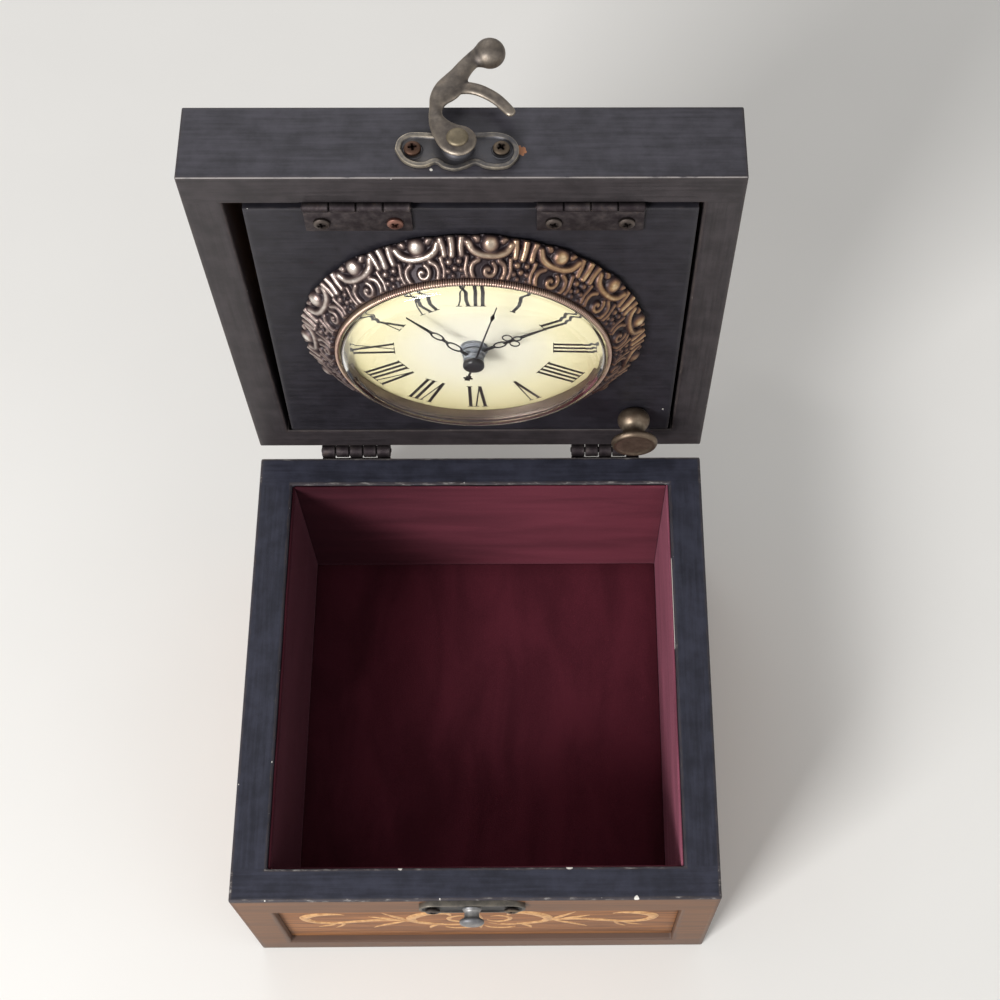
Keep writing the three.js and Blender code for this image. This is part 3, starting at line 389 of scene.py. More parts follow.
class Finish:
    def __init__(self, name):
        self.material = bpy.data.materials.new(name)
        self.material.use_nodes = True
        self.tree = self.material.node_tree
        self.tree.nodes.clear()

    def node(self, kind, settings=None, sockets=None, output=0):
        made = self.tree.nodes.new(kind)
        for key, value in (settings or {}).items():
            if key == "stops":
                ramp = made.color_ramp
                while len(ramp.elements) < len(value):
                    ramp.elements.new(0.5)
                for element, (place, colour) in zip(ramp.elements, value):
                    element.position = place
                    element.color = colour
            else:
                setattr(made, key, value)
        for key, value in (sockets or {}).items():
            if isinstance(value, Wire):
                self.tree.links.new(value.socket, made.inputs[key])
            else:
                made.inputs[key].default_value = value
        return Wire(self, made.outputs[output]) if made.outputs else None

    def place(self, scale=even, move=(0, 0, 0)):
        # object coordinates in millimetres, stretched and moved
        coords = self.node("ShaderNodeTexCoord", output="Object")
        return self.node("ShaderNodeMapping", {"vector_type": "POINT"}, {
            "Vector": coords, "Scale": [s / unit for s in scale], "Location": move,
        })

    def part(self, vector, axis):
        return self.node("ShaderNodeSeparateXYZ", {}, {"Vector": vector}, output="XYZ".index(axis))

    def noise(self, grain, scale, detail=3, rough=0.5, twist=0):
        # grain stretches it along the axes
        return self.node("ShaderNodeTexNoise", {"noise_dimensions": "3D"}, {
            "Vector": self.place(grain), "Scale": scale, "Detail": detail, "Roughness": rough,
            "Distortion": twist,
        })

    def distance(self, spot):
        return self.node("ShaderNodeVectorMath", {"operation": "LENGTH"}, {
            0: self.place(even, tuple(-s for s in spot)),
        }, output="Value")

    def along(self, axis):
        return self.part(self.place(), axis)

    def step(self, value, low, high):
        return self.node(
            "ShaderNodeMapRange", {"interpolation_type": "SMOOTHSTEP"}, {0: value, 1: low, 2: high},
        )

    def ramp(self, value, *stops):
        return self.node("ShaderNodeValToRGB", {"stops": stops}, {0: value})

    def mark(self, name):
        return self.node("ShaderNodeAttribute", {"attribute_name": name}, output="Fac")

    def tint(self, first, second, factor):
        return self.node("ShaderNodeMix", {"data_type": "RGBA"}, {0: factor, 6: first, 7: second}, output=2)

    def bump(self, height, strength, depth=0.1):
        return self.node("ShaderNodeBump", {}, {
            "Height": height, "Strength": strength, "Distance": depth * unit,
        })

    def shader(self, sockets):
        return self.node("ShaderNodeBsdfPrincipled", {}, sockets)

    def done(self, shader):
        self.node("ShaderNodeOutputMaterial", {}, {"Surface": shader})
        return self.material

    def surface(self, colour, rough, bump=None, more=None):
        sockets = {"Base Color": colour, "Roughness": rough, **(more or {})}
        if bump:
            sockets["Normal"] = self.bump(*bump)
        return self.done(self.shader(sockets))


# Camera, floor and light

shot = {
    "eye": (20.111, -194.416, 606.822),
    "down": 64.362,  # degrees below level
    "turn": 1.725,
    "tilt": -1.317,
    "lens": 60.902,
    "shift": -0.06,
}


def makeCamera():
    down, turn, tilt = (math.radians(shot[key]) for key in ("down", "turn", "tilt"))
    ahead = Vector((math.sin(turn) * math.cos(down), math.cos(turn) * math.cos(down), -math.sin(down)))
    level = Vector((math.cos(turn), -math.sin(turn), 0))
    drop = ahead.cross(level)
    right = math.cos(tilt) * level + math.sin(tilt) * drop
    below = -math.sin(tilt) * level + math.cos(tilt) * drop
    data = bpy.data.cameras.new("camera")
    data.sensor_width = 36
    data.lens = shot["lens"]
    data.shift_x = shot["shift"]
    data.clip_start, data.clip_end = 0.02, 20
    camera = addObject("camera", data)
    axes = Matrix((right, -below, -ahead)).transposed().to_4x4()
    camera.matrix_world = moved(Vector(shot["eye"]) * unit) @ axes
    scene.camera = camera


studio = {
    "floor": (238, 236, 232),
    "world": 0.37,
    "key": {"from": (-720, -860, 800), "size": 480, "watts": 17.5},
    "fill": {"from": (700, -500, 620), "size": 900, "watts": 1.8},
    "back": {"from": (-200, 900, 760), "size": 700, "watts": 2.0},
    "aim": (0, 10, 90),
}


def makeStudio():
    bm = bmesh.new()
    bmesh.ops.create_grid(bm, x_segments=1, y_segments=1, size=4)
    mesh = toMesh("floor", bm)
    paper = Finish("floorPaper")
    grain = paper.noise(even, 0.02, 2)
    pale = shade(*studio["floor"])
    body = paper.tint(pale, toned(pale, 0.97), grain)
    mesh.materials.append(paper.surface(body, 0.8, None, {"Specular IOR Level": 0.1}))
    floor = addObject("floor", mesh)
    for name in ("key", "fill", "back"):
        lamp = studio[name]
        data = bpy.data.lights.new(name, "AREA")
        data.shape = "SQUARE"
        data.size = lamp["size"] * unit
        data.energy = lamp["watts"]
        light = addObject(name, data)
        spot = Vector(lamp["from"]) * unit
        look = (Vector(studio["aim"]) * unit - spot).to_track_quat("-Z", "Y").to_matrix().to_4x4()
        light.matrix_world = moved(spot) @ look
    world = scene.world or bpy.data.worlds.new("world")
    scene.world = world
    world.use_nodes = True
    sky = world.node_tree.nodes["Background"]
    sky.inputs["Color"].default_value = (1, 1, 1, 1)
    sky.inputs["Strength"].default_value = studio["world"]
    scene.view_settings.view_transform = "Standard"


# Materials

paint = {
    "rim": (44, 45, 57),
    # the lid's top faces, lighter than its front: painted light from above
    "top": (58, 56, 63),
    "lid": (46, 41, 43),
    "door": (33, 31, 37),
    "rub": (74, 64, 60),
    "bright": (168, 164, 160),
    "chip": (228, 224, 216),
    # the light line along one edge: a painted highlight
    "line": (150, 144, 142),
    "face": (106, 71, 45),
    "bare": (168, 112, 76),
}


def paintFinish(name, colour, grain, rub=1.0, edgeHighlight=None, spots=()):
    # thin black paint over wood; grain stretches the streaks along one axis; the fourth argument paints a highlight,
    # a light line broken up like worn paint along the edge at the end of Z plus a share of Y; each spot has a place,
    # a radius and a colour
    finish = Finish(name)
    streaks = finish.noise(grain, 0.9, 6, 0.6)
    cloud = finish.noise((0.14, 0.14, 0.14), 1, 5, 0.65)
    scuff = finish.noise(tuple(g ** 0.4 for g in grain), 0.8, 5, 0.65)
    speck = finish.noise(even, 0.55, 2, 0.4)
    wear = finish.mark("wear")
    dark, light = toned(shade(*colour), 0.66), toned(shade(*colour), 1.42, 0.002)
    body = finish.tint(dark, light, finish.step(streaks * 0.45 + cloud * 0.55, 0.34, 0.68))
    rubbed = finish.step(wear * 0.5 * rub + scuff * 0.55, 0.62, 0.95)
    body = finish.tint(body, shade(*paint["rub"]), rubbed * 0.6)
    bright = finish.step(wear * 0.45 * rub + scuff * 0.62, 0.84, 0.96)
    body = finish.tint(body, shade(*paint["bright"]), bright * 0.6)
    chips = finish.step(wear * 0.2 + speck, 0.97, 0.985)
    body = finish.tint(body, shade(*paint["chip"]), chips)
    # painted highlight: a light line along one edge, broken up like worn paint
    if edgeHighlight:
        share, start, end = edgeHighlight
        place = finish.place()
        edge = finish.step(finish.part(place, "Z") + finish.part(place, "Y") * share, start, end)
        edge = edge * finish.step(scuff + streaks * 0.5, 0.42, 0.78)
        body = finish.tint(body, shade(*paint["line"]), edge)
    for spot, radius, tone in spots:
        away = finish.distance(spot)
        inside = finish.step(away + speck * radius * 3, radius * 2.5, radius * 2.3)
        body = finish.tint(body, shade(*tone), inside)
    rough = 0.4 + streaks * 0.14 + rubbed * 0.16
    height = streaks * 0.5 + scuff * 0.12 - chips * 0.8
    return finish.surface(body, rough, (height, 0.35, 0.18), {"Specular IOR Level": 0.4})


def panelFinish(name, along):
    finish = Finish(name)
    grain = finish.noise(tuple(0.035 if a else 0.6 for a in along), 0.8, 6, 0.6, 0.3)
    fibre = finish.noise(tuple(0.06 if a else 2.5 for a in along), 1.2, 4, 0.6)
    body = finish.tint(shade(104, 64, 34), shade(154, 100, 54), finish.step(grain, 0.32, 0.68))
    body = finish.tint(body, shade(92, 58, 34), finish.step(fibre, 0.56, 0.8) * 0.5)
    return finish.surface(body, 0.5 + fibre * 0.15, (fibre, 0.25, 0.15))


def faceFinish():
    # brown outside of the case, paint worn thin towards the edges
    finish = Finish("faceWood")
    grain = finish.noise((0.04, 0.04, 0.7), 0.9, 6, 0.6, 0.2)
    cloud = finish.noise((0.06, 0.06, 0.06), 1, 3)
    wear = finish.mark("wear")
    dark, light = toned(shade(*paint["face"]), 0.7), toned(shade(*paint["face"]), 1.2)
    body = finish.tint(dark, light, finish.step(grain, 0.3, 0.7))
    low = finish.step(finish.along("Z") + cloud * 18, 34, 12)
    thin = finish.step(cloud * 0.6 + wear * 0.35 + low * 0.4, 0.4, 0.85)
    body = finish.tint(body, shade(84, 66, 58), thin * 0.7)
    return finish.surface(body, 0.5 + grain * 0.12, (grain, 0.3, 0.15))


def scrollFinish():
    finish = Finish("scrollPaint")
    brush = finish.noise((0.5, 0.5, 0.5), 1.1, 5, 0.65)
    body = finish.tint(shade(166, 118, 72), shade(206, 160, 108), finish.step(brush, 0.3, 0.66))
    return finish.surface(body, 0.5, (brush, 0.3, 0.1))


def velvetFinish(name, grain, left, right, lightSpan):
    # painted light: darker on the left, where the walls shade the velvet, and lit towards the right; the last
    # argument is where the change starts and ends along X
    finish = Finish(name)
    pile = finish.noise(even, 2.6, 4, 0.7)
    brushed = finish.noise(grain, 0.05, 3, 0.5, 0.6)
    paintedLight = finish.step(finish.along("X") + brushed * 20, *lightSpan)
    tone = finish.tint(shade(*left), shade(*right), paintedLight)
    body = finish.tint(tone, shade(30, 10, 16), finish.step(brushed * 0.6 + pile * 0.4, 0.66, 0.34) * 0.45)
    return finish.surface(body, 0.92, (pile, 0.5, 0.2), {
        "Specular IOR Level": 0.08, "Sheen Weight": 0.45, "Sheen Roughness": 0.35,
        "Sheen Tint": shade(196, 128, 146),
    })


def cardFinish():
    finish = Finish("liningCard")
    fibre = finish.noise(even, 1.5, 4, 0.6)
    return finish.surface(finish.tint(shade(206, 200, 192), shade(232, 228, 220), fibre), 0.85, (fibre, 0.2))


def brassFinish(name, dark, light, lift=0.0, gloss=0.0, side=None):
    # antique metal: dark in the hollows, rubbed bright where wear is high; side tells where on X
    # the raised parts get a painted highlight that grows towards that end
    finish = Finish(name)
    patch = finish.noise(even, 0.35, 4, 0.6)
    fine = finish.noise(even, 1.8, 4, 0.65)
    wear = finish.mark("wear")
    rubbed = finish.step(wear * 0.75 + patch * 0.45 + lift, 0.3, 1.05)
    # painted highlight on the raised parts towards one end of X, where the light falls
    if side:
        paintedGlow = finish.step(finish.along("X"), *side)
        rubbed = finish.step(rubbed + paintedGlow * wear * 0.45, 0.0, 1.1)
    body = finish.tint(shade(*dark), shade(*light), rubbed)
    body = finish.tint(body, shade(88, 62, 44), finish.step(patch * 0.6 + fine * 0.5, 0.6, 0.78) * 0.4)
    rough = 0.5 - rubbed * 0.16 + fine * 0.14 - gloss
    return finish.surface(body, rough, (fine, 0.3, 0.12), {"Metallic": 0.88})


def plainFinish(name, colour, rough=0.5, metal=0.0, grain=1.4):
    finish = Finish(name)
    fine = finish.noise(even, grain, 3, 0.6)
    body = finish.tint(toned(shade(*colour), 0.8), toned(shade(*colour), 1.2), fine)
    return finish.surface(body, rough - 0.06 + fine * 0.12, (fine, 0.3, 0.08), {"Metallic": metal})


makeCamera()
makeStudio()
print("camera and studio")

rimPaintX = paintFinish("rimPaintX", paint["rim"], (0.05, 1, 1), 1.15, (1, 151.3, 151.55), (
    ((29.4, -67.8, 73.9), 0.8, paint["chip"]), ((50.4, -77.3, 74), 0.8, paint["chip"]),
    ((-24, -67.7, 73.9), 0.5, paint["chip"]), ((-66, -77.6, 73.9), 0.4, paint["chip"]),
))
rimPaintY = paintFinish("rimPaintY", paint["rim"], (1, 0.05, 1))
# paint for the lid's top faces, a lighter copy of the lid paint: painted light from above
litTopPaint = paintFinish("litTopPaint", paint["top"], (0.05, 1, 1), 1.0, (-1, 151.2, 151.42), (
    ((16.2, 90.5, 233), 1.35, paint["bare"]), ((-8.4, 84.0, 233), 0.4, paint["chip"]),
))
lidPaintX = paintFinish("lidPaintX", paint["lid"], (0.05, 1, 1))
lidPaintZ = paintFinish("lidPaintZ", paint["lid"], (1, 1, 0.05))
doorPaint = paintFinish("doorPaint", paint["door"], (0.05, 1, 1), 0.8, None, (
    ((62.7, 81.3, 103.1), 0.5, paint["chip"]),
))
panelWood = panelFinish("panelWood", (1, 0, 0))
faceWood = faceFinish()
sideWood = panelFinish("sideWood", (0, 1, 0))
lidBoardWood = panelFinish("lidBoardWood", (0, 0, 1))
scrollPaint = scrollFinish()
# lighter towards the right: painted light from the lamp at the left and painted shade on the left
velvetWall = velvetFinish("velvetWall", (0.3, 0.3, 2), (66, 27, 36), (118, 56, 69), (-60, 40))
# the right wall, which faces the lamp, gets a lighter copy of the velvet: painted light
velvetLitWall = velvetFinish("velvetLitWall", (0.3, 0.3, 2), (150, 86, 104), (150, 86, 104), (-60, 40))
velvetFloor = velvetFinish("velvetFloor", (1.2, 0.4, 1), (72, 30, 40), (96, 40, 52), (-70, 0))
liningCard = cardFinish()
# the latch plate gets a painted highlight towards the left
brass = brassFinish("agedBrass", (92, 91, 95), (222, 208, 184), -0.02, 0.0, (-5, -9))
darkBrass = brassFinish("darkBrass", (62, 62, 64), (170, 160, 144), -0.05)
studMetal = brassFinish("studMetal", (112, 112, 116), (226, 222, 214), 0.05)
hookBrass = brassFinish("hookBrass", (84, 78, 76), (198, 184, 166), -0.02)
darkMetal = brassFinish("darkMetal", (48, 42, 40), (132, 116, 98), -0.12)
copperMetal = brassFinish("copperMetal", (86, 58, 52), (154, 112, 98), -0.08)
hingeMetal = brassFinish("hingeMetal", (50, 43, 46), (172, 162, 160), -0.15)
screwMetal = brassFinish("screwMetal", (48, 42, 40), (104, 94, 88), -0.1)
brownMetal = brassFinish("brownMetal", (62, 44, 38), (120, 92, 76), -0.1)
rivetBrass = brassFinish("rivetBrass", (104, 96, 82), (186, 170, 140), 0.0)
knobBrass = brassFinish("knobBrass", (110, 94, 80), (224, 212, 186), -0.03, 0.1)
zinc = plainFinish("zincMetal", (150, 152, 154), 0.36, 1.0)
blackPlastic = plainFinish("blackPlastic", (28, 28, 31), 0.5, 0.0, 2.2)
blackMetal = plainFinish("blackMetal", (30, 30, 34), 0.38)
hubZinc = plainFinish("hubZinc", (128, 132, 140), 0.42, 0.6)
ink = plainFinish("printedInk", (34, 32, 34), 0.5)
cellShell = plainFinish("cellShell", (66, 96, 126), 0.35, 0.4)
print("materials")


# Wooden case

case = {
    "half": (77.5, 78),
    "inner": (66, 67.5),
    "height": 74,
    "panel": (10, 57, 66, 66.5),  # foot, top, half width at the front, half width at the sides
    "sink": 2.3,
    "board": 1.4,
    "play": 0.1,  # round a board in its opening
    "base": 5,
    "edge": 0.75,
    "band": 1.1,
}


def makeCase():
    (outX, outY), (inX, inY), top = case["half"], case["inner"], case["height"]
    panelFoot, panelTop, panelX, panelY = case["panel"]
    bm = startMesh()
    addFrame(bm, (-outX, -outY, outX, outY), (-inX, -inY, inX, inY), 0, top)
    sinkFace(bm, (0, -1, 0), (-panelX, -outY, panelFoot), (panelX, -outY, panelTop), case["sink"] + case["board"])
    for side in (-1, 1):
        x = side * outX
        sinkFace(bm, (side, 0, 0), (x, -panelY, panelFoot), (x, panelY, panelTop), case["sink"])
    softenEdges(bm, case["edge"], case["band"], 3)
    front, back = ((0, -inY, 0), (0, 1, 0)), ((0, inY, 0), (0, -1, 0))
    behind, ahead = ((0, -inY, 0), (0, -1, 0)), ((0, inY, 0), (0, 1, 0))
    walls = (
        ("front_wall", (front,), (rimPaintX, faceWood)),
        ("back_wall", (back,), (rimPaintX, faceWood)),
        ("left_wall", (behind, ahead, ((0, 0, 0), (1, 0, 0))), (rimPaintY, faceWood)),
        ("right_wall", (behind, ahead, ((0, 0, 0), (-1, 0, 0))), (rimPaintY, faceWood)),
    )
    for name, planes, finish in walls:
        wall = sliceOff(bm, *planes)
        for face in wall.faces:
            spot = face.calc_center_median()
            outside = max(abs(spot.x) / outX, abs(spot.y) / outY) > 0.955
            if 0.3 < spot.z < top - 0.6 and outside:
                face.material_index = 1
        makePiece(name + "_wood", wall, finish, "case", [name])
    bm.free()
    makeBoard("bottom_board_wood", (-inX, -inY, 0), (inX, inY, case["base"]), 0.3, rimPaintX, "case",
              ["bottom_board"])


makeCase()
print("case")


# Front panel and its painted scrolls

ornament = {
    "lift": 0.3,  # height of a brush stroke above the board, as a share of its half width
    "sides": 8,
    "middle": 33.5,
    "drop": 2.3,  # of the scrolls on the front
    # x, height and half width along each stroke; each is drawn again, mirrored
    "stems": (
        ((3, 31, 0.4), (9, 26.5, 0.7), (16, 30, 0.9), (24, 36, 1.0), (33, 39.5, 1.4), (42, 37, 1.7), (50, 33, 1.5),
         (56, 34, 1.6), (60, 39.5, 2.0), (60.5, 46.5, 2.4), (56.5, 52, 2.2), (50, 53, 1.2), (46.5, 51, 0.4)),
        ((10, 48.5, 0.6), (11.5, 53.5, 1.4), (17, 54, 2.3), (22, 48, 2.6), (24, 40, 2.1), (21, 32.5, 1.5),
         (14, 28, 0.9), (7, 28.5, 0.4)),
        ((2.5, 38, 0.4), (6, 34.5, 0.9), (10, 37.5, 1.1), (10.5, 43.5, 1.0), (7, 47.5, 0.8), (4, 46, 0.4)),
        ((1.5, 24, 0.3), (4, 20.5, 0.9), (9, 19.5, 0.9), (12.5, 22.5, 0.5)),
    ),
    "bud": ((18, 0.2), (26, 1.3), (33, 0.5), (41, 1.5), (52, 0.2)),
    "leaves": (
        ((24, 37, 0.4), (27.5, 43, 1.4), (31.5, 51, 0.7), (33.5, 55, 0.15)),
        ((27, 38, 0.4), (33, 43, 1.2), (38.5, 47, 0.3)),
        ((26, 36, 0.4), (31, 31, 1.3), (36, 25, 0.8), (38, 21.5, 0.15)),
        ((50, 34, 0.4), (52.5, 28.5, 1.0), (57.5, 24.5, 0.2)),
        ((48, 34, 0.4), (48.5, 28, 0.9), (51.5, 22, 0.2)),
        ((13, 30, 0.4), (17, 24, 1.1), (18, 18.5, 0.2)),
    ),
}


def drawScrolls(bm, place, sizeX=0.955, sizeZ=0.68, weight=0.75):
    middle = ornament["middle"]
    for stroke in ornament["stems"] + ornament["leaves"]:
        for hand in (1, -1):
            path, sizes = brushLine([
                (hand * x * sizeX, middle + (z - middle) * sizeZ, w * weight) for x, z, w in stroke
            ])
            if hand < 0:
                path, sizes = path[::-1], sizes[::-1]
            addTube(bm, path, sizes, ornament["sides"], ornament["lift"], place)
    path, sizes = brushLine([(0, middle + (z - middle) * sizeZ, w * weight) for z, w in ornament["bud"]])
    addTube(bm, path, sizes, ornament["sides"], ornament["lift"], place)


def makeScrolls(name, places, body, *sizes):
    bm = startMesh()
    for place in places:
        drawScrolls(bm, place, *sizes)
    makePiece(name, bm, scrollPaint, body, slot="panel_wood", angle=70)


def makePanels():
    foot, top, halfX, halfY = case["panel"]
    play, thick = case["play"], case["board"]
    depth = case["half"][1] - case["sink"]
    makeBoard("front_panel_board", (play - halfX, -depth, foot + play), (halfX - play, -depth + thick, top - play),
              0.25, panelWood, "case", ["front_panel"])
    makeScrolls("front_scrolls", [facing("forward", 0, -depth, -ornament["drop"])], "case")
    for way, sign in (("right", 1), ("left", -1)):
        face = case["half"][0] - case["sink"] + 0.15
        inner, outer = sorted((sign * (face - 1.15), sign * face))
        makeBoard(way + "_panel_board", (inner, play - halfY, foot + play), (outer, halfY - play, top - play),
                  0.25, sideWood, "case", slot="panel_wood")
        makeScrolls(way + "_scrolls", [facing(way, sign * face, 0, 0)], "case")


makePanels()
print("panels")


# Velvet lining, card covered with cloth

lining = {
    "inner": (65.1, 66.6),
    "card": 0.8,
    "top": 73.4,
    "floor": (65, 66.5, 5.1, 5.9),
    "wave": 0.16,
    "cuts": 22,
    "cut": 1.7,  # the front is lower, so that the knuckles of the door hinges have room
    "strip": (6, 39, 30),  # bare edge of the card at the right: ends along Y, foot
}


def liningSheet(name, low, high, flatAxis, finish, stands, seed):
    # a soft board whose faces swell a little between the edges
    bm = startMesh()
    addBox(bm, low, high)
    softenEdges(bm, 0.25)
    long = [e for e in bm.edges if e.calc_length() > 20]
    bmesh.ops.subdivide_edges(bm, edges=long, cuts=lining["cuts"], use_grid_fill=True)
    low, high = Vector(low), Vector(high)
    for vert in bm.verts:
        share = [(vert.co[i] - low[i]) / (high[i] - low[i]) for i in range(3)]
        across = [i for i in range(3) if i != flatAxis]
        swell = math.prod(min(1, 14 * min(share[i], 1 - share[i])) for i in across)
        a, b = (vert.co[i] * 0.07 + seed for i in across)
        wave = math.sin(a + 1.3 * math.sin(b * 1.7)) * math.sin(b * 1.1 + math.sin(a * 1.9))
        middle = 1 if share[flatAxis] > 0.5 else -1
        vert.co[flatAxis] += swell * lining["wave"] * (0.6 * wave + 0.2 * middle)
        if flatAxis != 2 and share[2] > 0.9:
            drop = 0.5 + 0.5 * math.sin(a * 2.3 + seed) * math.sin(a * 0.9 + 2 * seed)
            vert.co[2] -= 0.45 * drop * (share[2] - 0.9) * 10
    makePiece(name, bm, finish, "case", stands, "velvet", 60)


def makeLining():
    (inX, inY), card, top = lining["inner"], lining["card"], lining["top"]
    floorX, floorY, floorLow, floorHigh = lining["floor"]
    outY = inY + card
    foot = floorLow + 0.05
    liningSheet("lining_back", (-inX + 0.1, inY, foot), (inX - 0.1, outY, top), 1, velvetWall, ["lining_sleeve"], 0.4)
    liningSheet("lining_front", (-inX + 0.1, -outY, foot), (inX - 0.1, -inY, top - lining["cut"]), 1,
                velvetWall, [], 2.1)
    liningSheet("lining_left", (-inX - card, -outY, foot), (-inX, outY, top - 0.15), 0, velvetWall, [], 1.2)
    # the right wall takes the lighter velvet: painted light
    liningSheet("lining_right", (inX, -outY, foot), (inX + card, outY, top), 0, velvetLitWall, [], 3.3)
    liningSheet("lining_base", (-floorX, -floorY, floorLow), (floorX, floorY, floorHigh), 2, velvetFloor,
                ["lining_floor"], 0.9)
    start, end, low = lining["strip"]
    makeBoard("lining_card_edge", (inX + card - 0.05, start, low), (inX + card + 0.1, end, top + 0.1),
              0, liningCard, "case", slot="velvet")


makeLining()
print("lining")


# Lid frame, board and the hidden door

doorHinge = {
    "width": 30, "knuckles": 4, "axis": (80.6, 220.6), "barrel": 1.4, "pin": 0.48, "plate": 0.8,
    "middles": {"left": -29.7, "right": 35.1},
}

lid = {
    "face": 81.3,
    "back": 105.3,
    "half": 77.5,
    "foot": 77,
    "top": 233,
    "opening": (66.5, 88, 221.5),  # half width, foot, top
    "step": (86, 101.8, 91),
    "board": (101.8, 104.3),
    "play": 0.05,
    "edge": 0.5,
    "band": 1.0,
}


def makeLid():
    face, back, half = lid["face"], lid["back"], lid["half"]
    openHalf, openFoot, openTop = lid["opening"]
    stepFront, stepBack, stepTop = lid["step"]
    whole = startMesh()
    addFrame(
        whole, (-half, lid["foot"], half, lid["top"]), (-openHalf, openFoot, openHalf, openTop), face - back, 0,
        facing("forward", 0, face, 0),
    )
    softenEdges(whole, lid["edge"], lid["band"], 3)
    over, under = ((0, 0, openFoot), (0, 0, -1)), ((0, 0, openTop), (0, 0, 1))
    bars = (
        ("lid_hinge_rail", (((0, 0, openFoot), (0, 0, 1)),), lidPaintX),
        ("lid_front_rail", (((0, 0, openTop), (0, 0, -1)),), (litTopPaint, lidPaintX)),
        ("lid_left_stile", (over, under, ((0, 0, 0), (1, 0, 0))), lidPaintZ),
        ("lid_right_stile", (over, under, ((0, 0, 0), (-1, 0, 0))), lidPaintZ),
    )
    for name, planes, finish in bars:
        bm = sliceOff(whole, *planes)
        if name == "lid_front_rail":
            # the front face takes the darker lid paint and the rest the lighter top paint: painted light and shade on
            # one board
            for side in bm.faces:
                side.material_index = 1 if side.normal.y < -0.9 else 0
        if name == "lid_hinge_rail":
            addBox(bm, (-openHalf + 0.05, stepFront, openFoot - 0.5), (openHalf - 0.05, stepBack, stepTop))
        if name == "lid_front_rail":  # room for the barrels of the door hinges
            for middle in doorHinge["middles"].values():
                groove = startMesh()
                bmesh.ops.create_cone(
                    groove, cap_ends=True, segments=24, radius1=doorHinge["barrel"] + 0.25,
                    radius2=doorHinge["barrel"] + 0.25, depth=doorHinge["width"] + 1.6,
                    matrix=facing("right", middle, *doorHinge["axis"]),
                )
                bm = cutAway(bm, groove)
        makePiece(name + "_wood", bm, finish, "lid", [name])
    whole.free()
    (inner, outer), play = lid["board"], lid["play"]
    makeBoard("lid_top_board_wood", (play - openHalf, inner, openFoot + play),
              (openHalf - play, outer, openTop - play), 0.2, lidBoardWood, "lid", ["lid_top_board"])
    centre = facing("back", 0, outer, (openFoot + openTop) / 2)
    bands = [
        centre @ turned(turn) @ moved((0, -6, 0))
        for turn in (0, 180)
    ]
    makeScrolls("lid_scrolls", bands, "lid", 0.86, 1.05, 1.0)


door = {
    "outline": ((-64.9, 88.8), (65.3, 88.8), (65.3, 219.1), (-61.5, 219.1)),
    "thick": 4.5,
    "edge": 0.4,
}


def makeDoor():
    bm = startMesh()
    addPlate(bm, door["outline"], -door["thick"], 0, facing("forward", 0, lid["face"], 0))
    outward(bm)
    softenEdges(bm, door["edge"], 0.9)
    makePiece("door_panel_wood", bm, doorPaint, "door", ["door_panel"])


makeLid()
makeDoor()
print("lid and door")


# Screws

screw = {
    "sides": 28,
    "slot": (0.3, 1.2, 0.62),  # width, length and depth of the cross, as shares of the head radius
}


def makeScrew(node, way, head, body, finish, spin=20.0, shank=0.55):
    low, high = (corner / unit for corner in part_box(node))
    centre = (low + high) / 2
    axis = {"forward": 1, "back": 1, "up": 2, "down": 2}[way]
    reach = {"forward": low[1], "back": high[1], "up": high[2], "down": low[2]}[way]
    radius = (high[(axis + 1) % 3] - low[(axis + 1) % 3]) / 2
    length = high[axis] - low[axis]
    centre[axis] = reach
    bm = startMesh()
    spinLine(bm, [
        (0, 0), (radius * 0.5, -head * 0.04), (radius * 0.8, -head * 0.16), (radius * 0.95, -head * 0.42),
        (radius, -head * 0.85), (radius * 0.98, -head), (radius * shank, -head * 1.05),
        (radius * shank * 0.9, -length * 0.85), (0, -length),
    ], screw["sides"])
    outward(bm)
    width, long, deep = (share * radius for share in screw["slot"])
    for turn in (0, 90):
        cutter = startMesh()
        blade = addBox(cutter, (-long / 2, -width / 2, -deep), (long / 2, width / 2, 0.5))
        for vert in blade:
            if vert.co.z < 0:
                vert.co.x *= 0.55
        cross = Matrix.Rotation(math.radians(turn + spin), 3, "Z")
        bmesh.ops.rotate(cutter, cent=(0, 0, 0), matrix=cross, verts=blade)
        bm = cutAway(bm, cutter)
    wear = bm.verts.layers.float["wear"]
    for vert in bm.verts:
        away = math.hypot(vert.co.x, vert.co.y) / radius
        vert[wear] = max(0, 1 - abs(away - 0.75) * 1.6) if vert.co.z > -head * 0.75 else 0
    moveAll(bm, facing(way, *centre))
    makePiece(node + "_head", bm, finish, body, [node], angle=35)


def makeScrews():
    for side in ("left", "right"):
        for hand in ("left", "right"):
            makeScrew(f"case_hinge_screw_{side}_{hand}", "back", 1.2, "case", darkMetal)
            makeScrew(f"lid_hinge_screw_{side}_{hand}", "down", 1.2, "lid", darkMetal, 50)
    for row in (
        ("door_hinge_screw_left_left", "forward", 1.2, "door", screwMetal, 12),
        ("door_hinge_screw_left_right", "forward", 1.2, "door", copperMetal, 40),
        ("door_hinge_screw_right_left", "forward", 1.2, "door", screwMetal, 65),
        ("door_hinge_screw_right_right", "forward", 1.2, "door", screwMetal, 30),
        ("knob_screw", "back", 1.5, "door", zinc),
        ("latch_screw_left", "up", 1.2, "lid", brownMetal, 8),
        ("latch_screw_right", "up", 1.2, "lid", darkMetal, 35),
        ("catch_screw_left", "forward", 1.2, "case", screwMetal, 30),
        ("catch_screw_right", "forward", 1.2, "case", darkMetal, 15),
    ):
        makeScrew(*row)


# Hinges

lidHinge = {
    "width": 24, "knuckles": 5, "axis": (81.0, 74.0), "barrel": 2.4, "pin": 0.95, "plate": 1.0,
    "middles": {"left": -44, "right": 44},
}

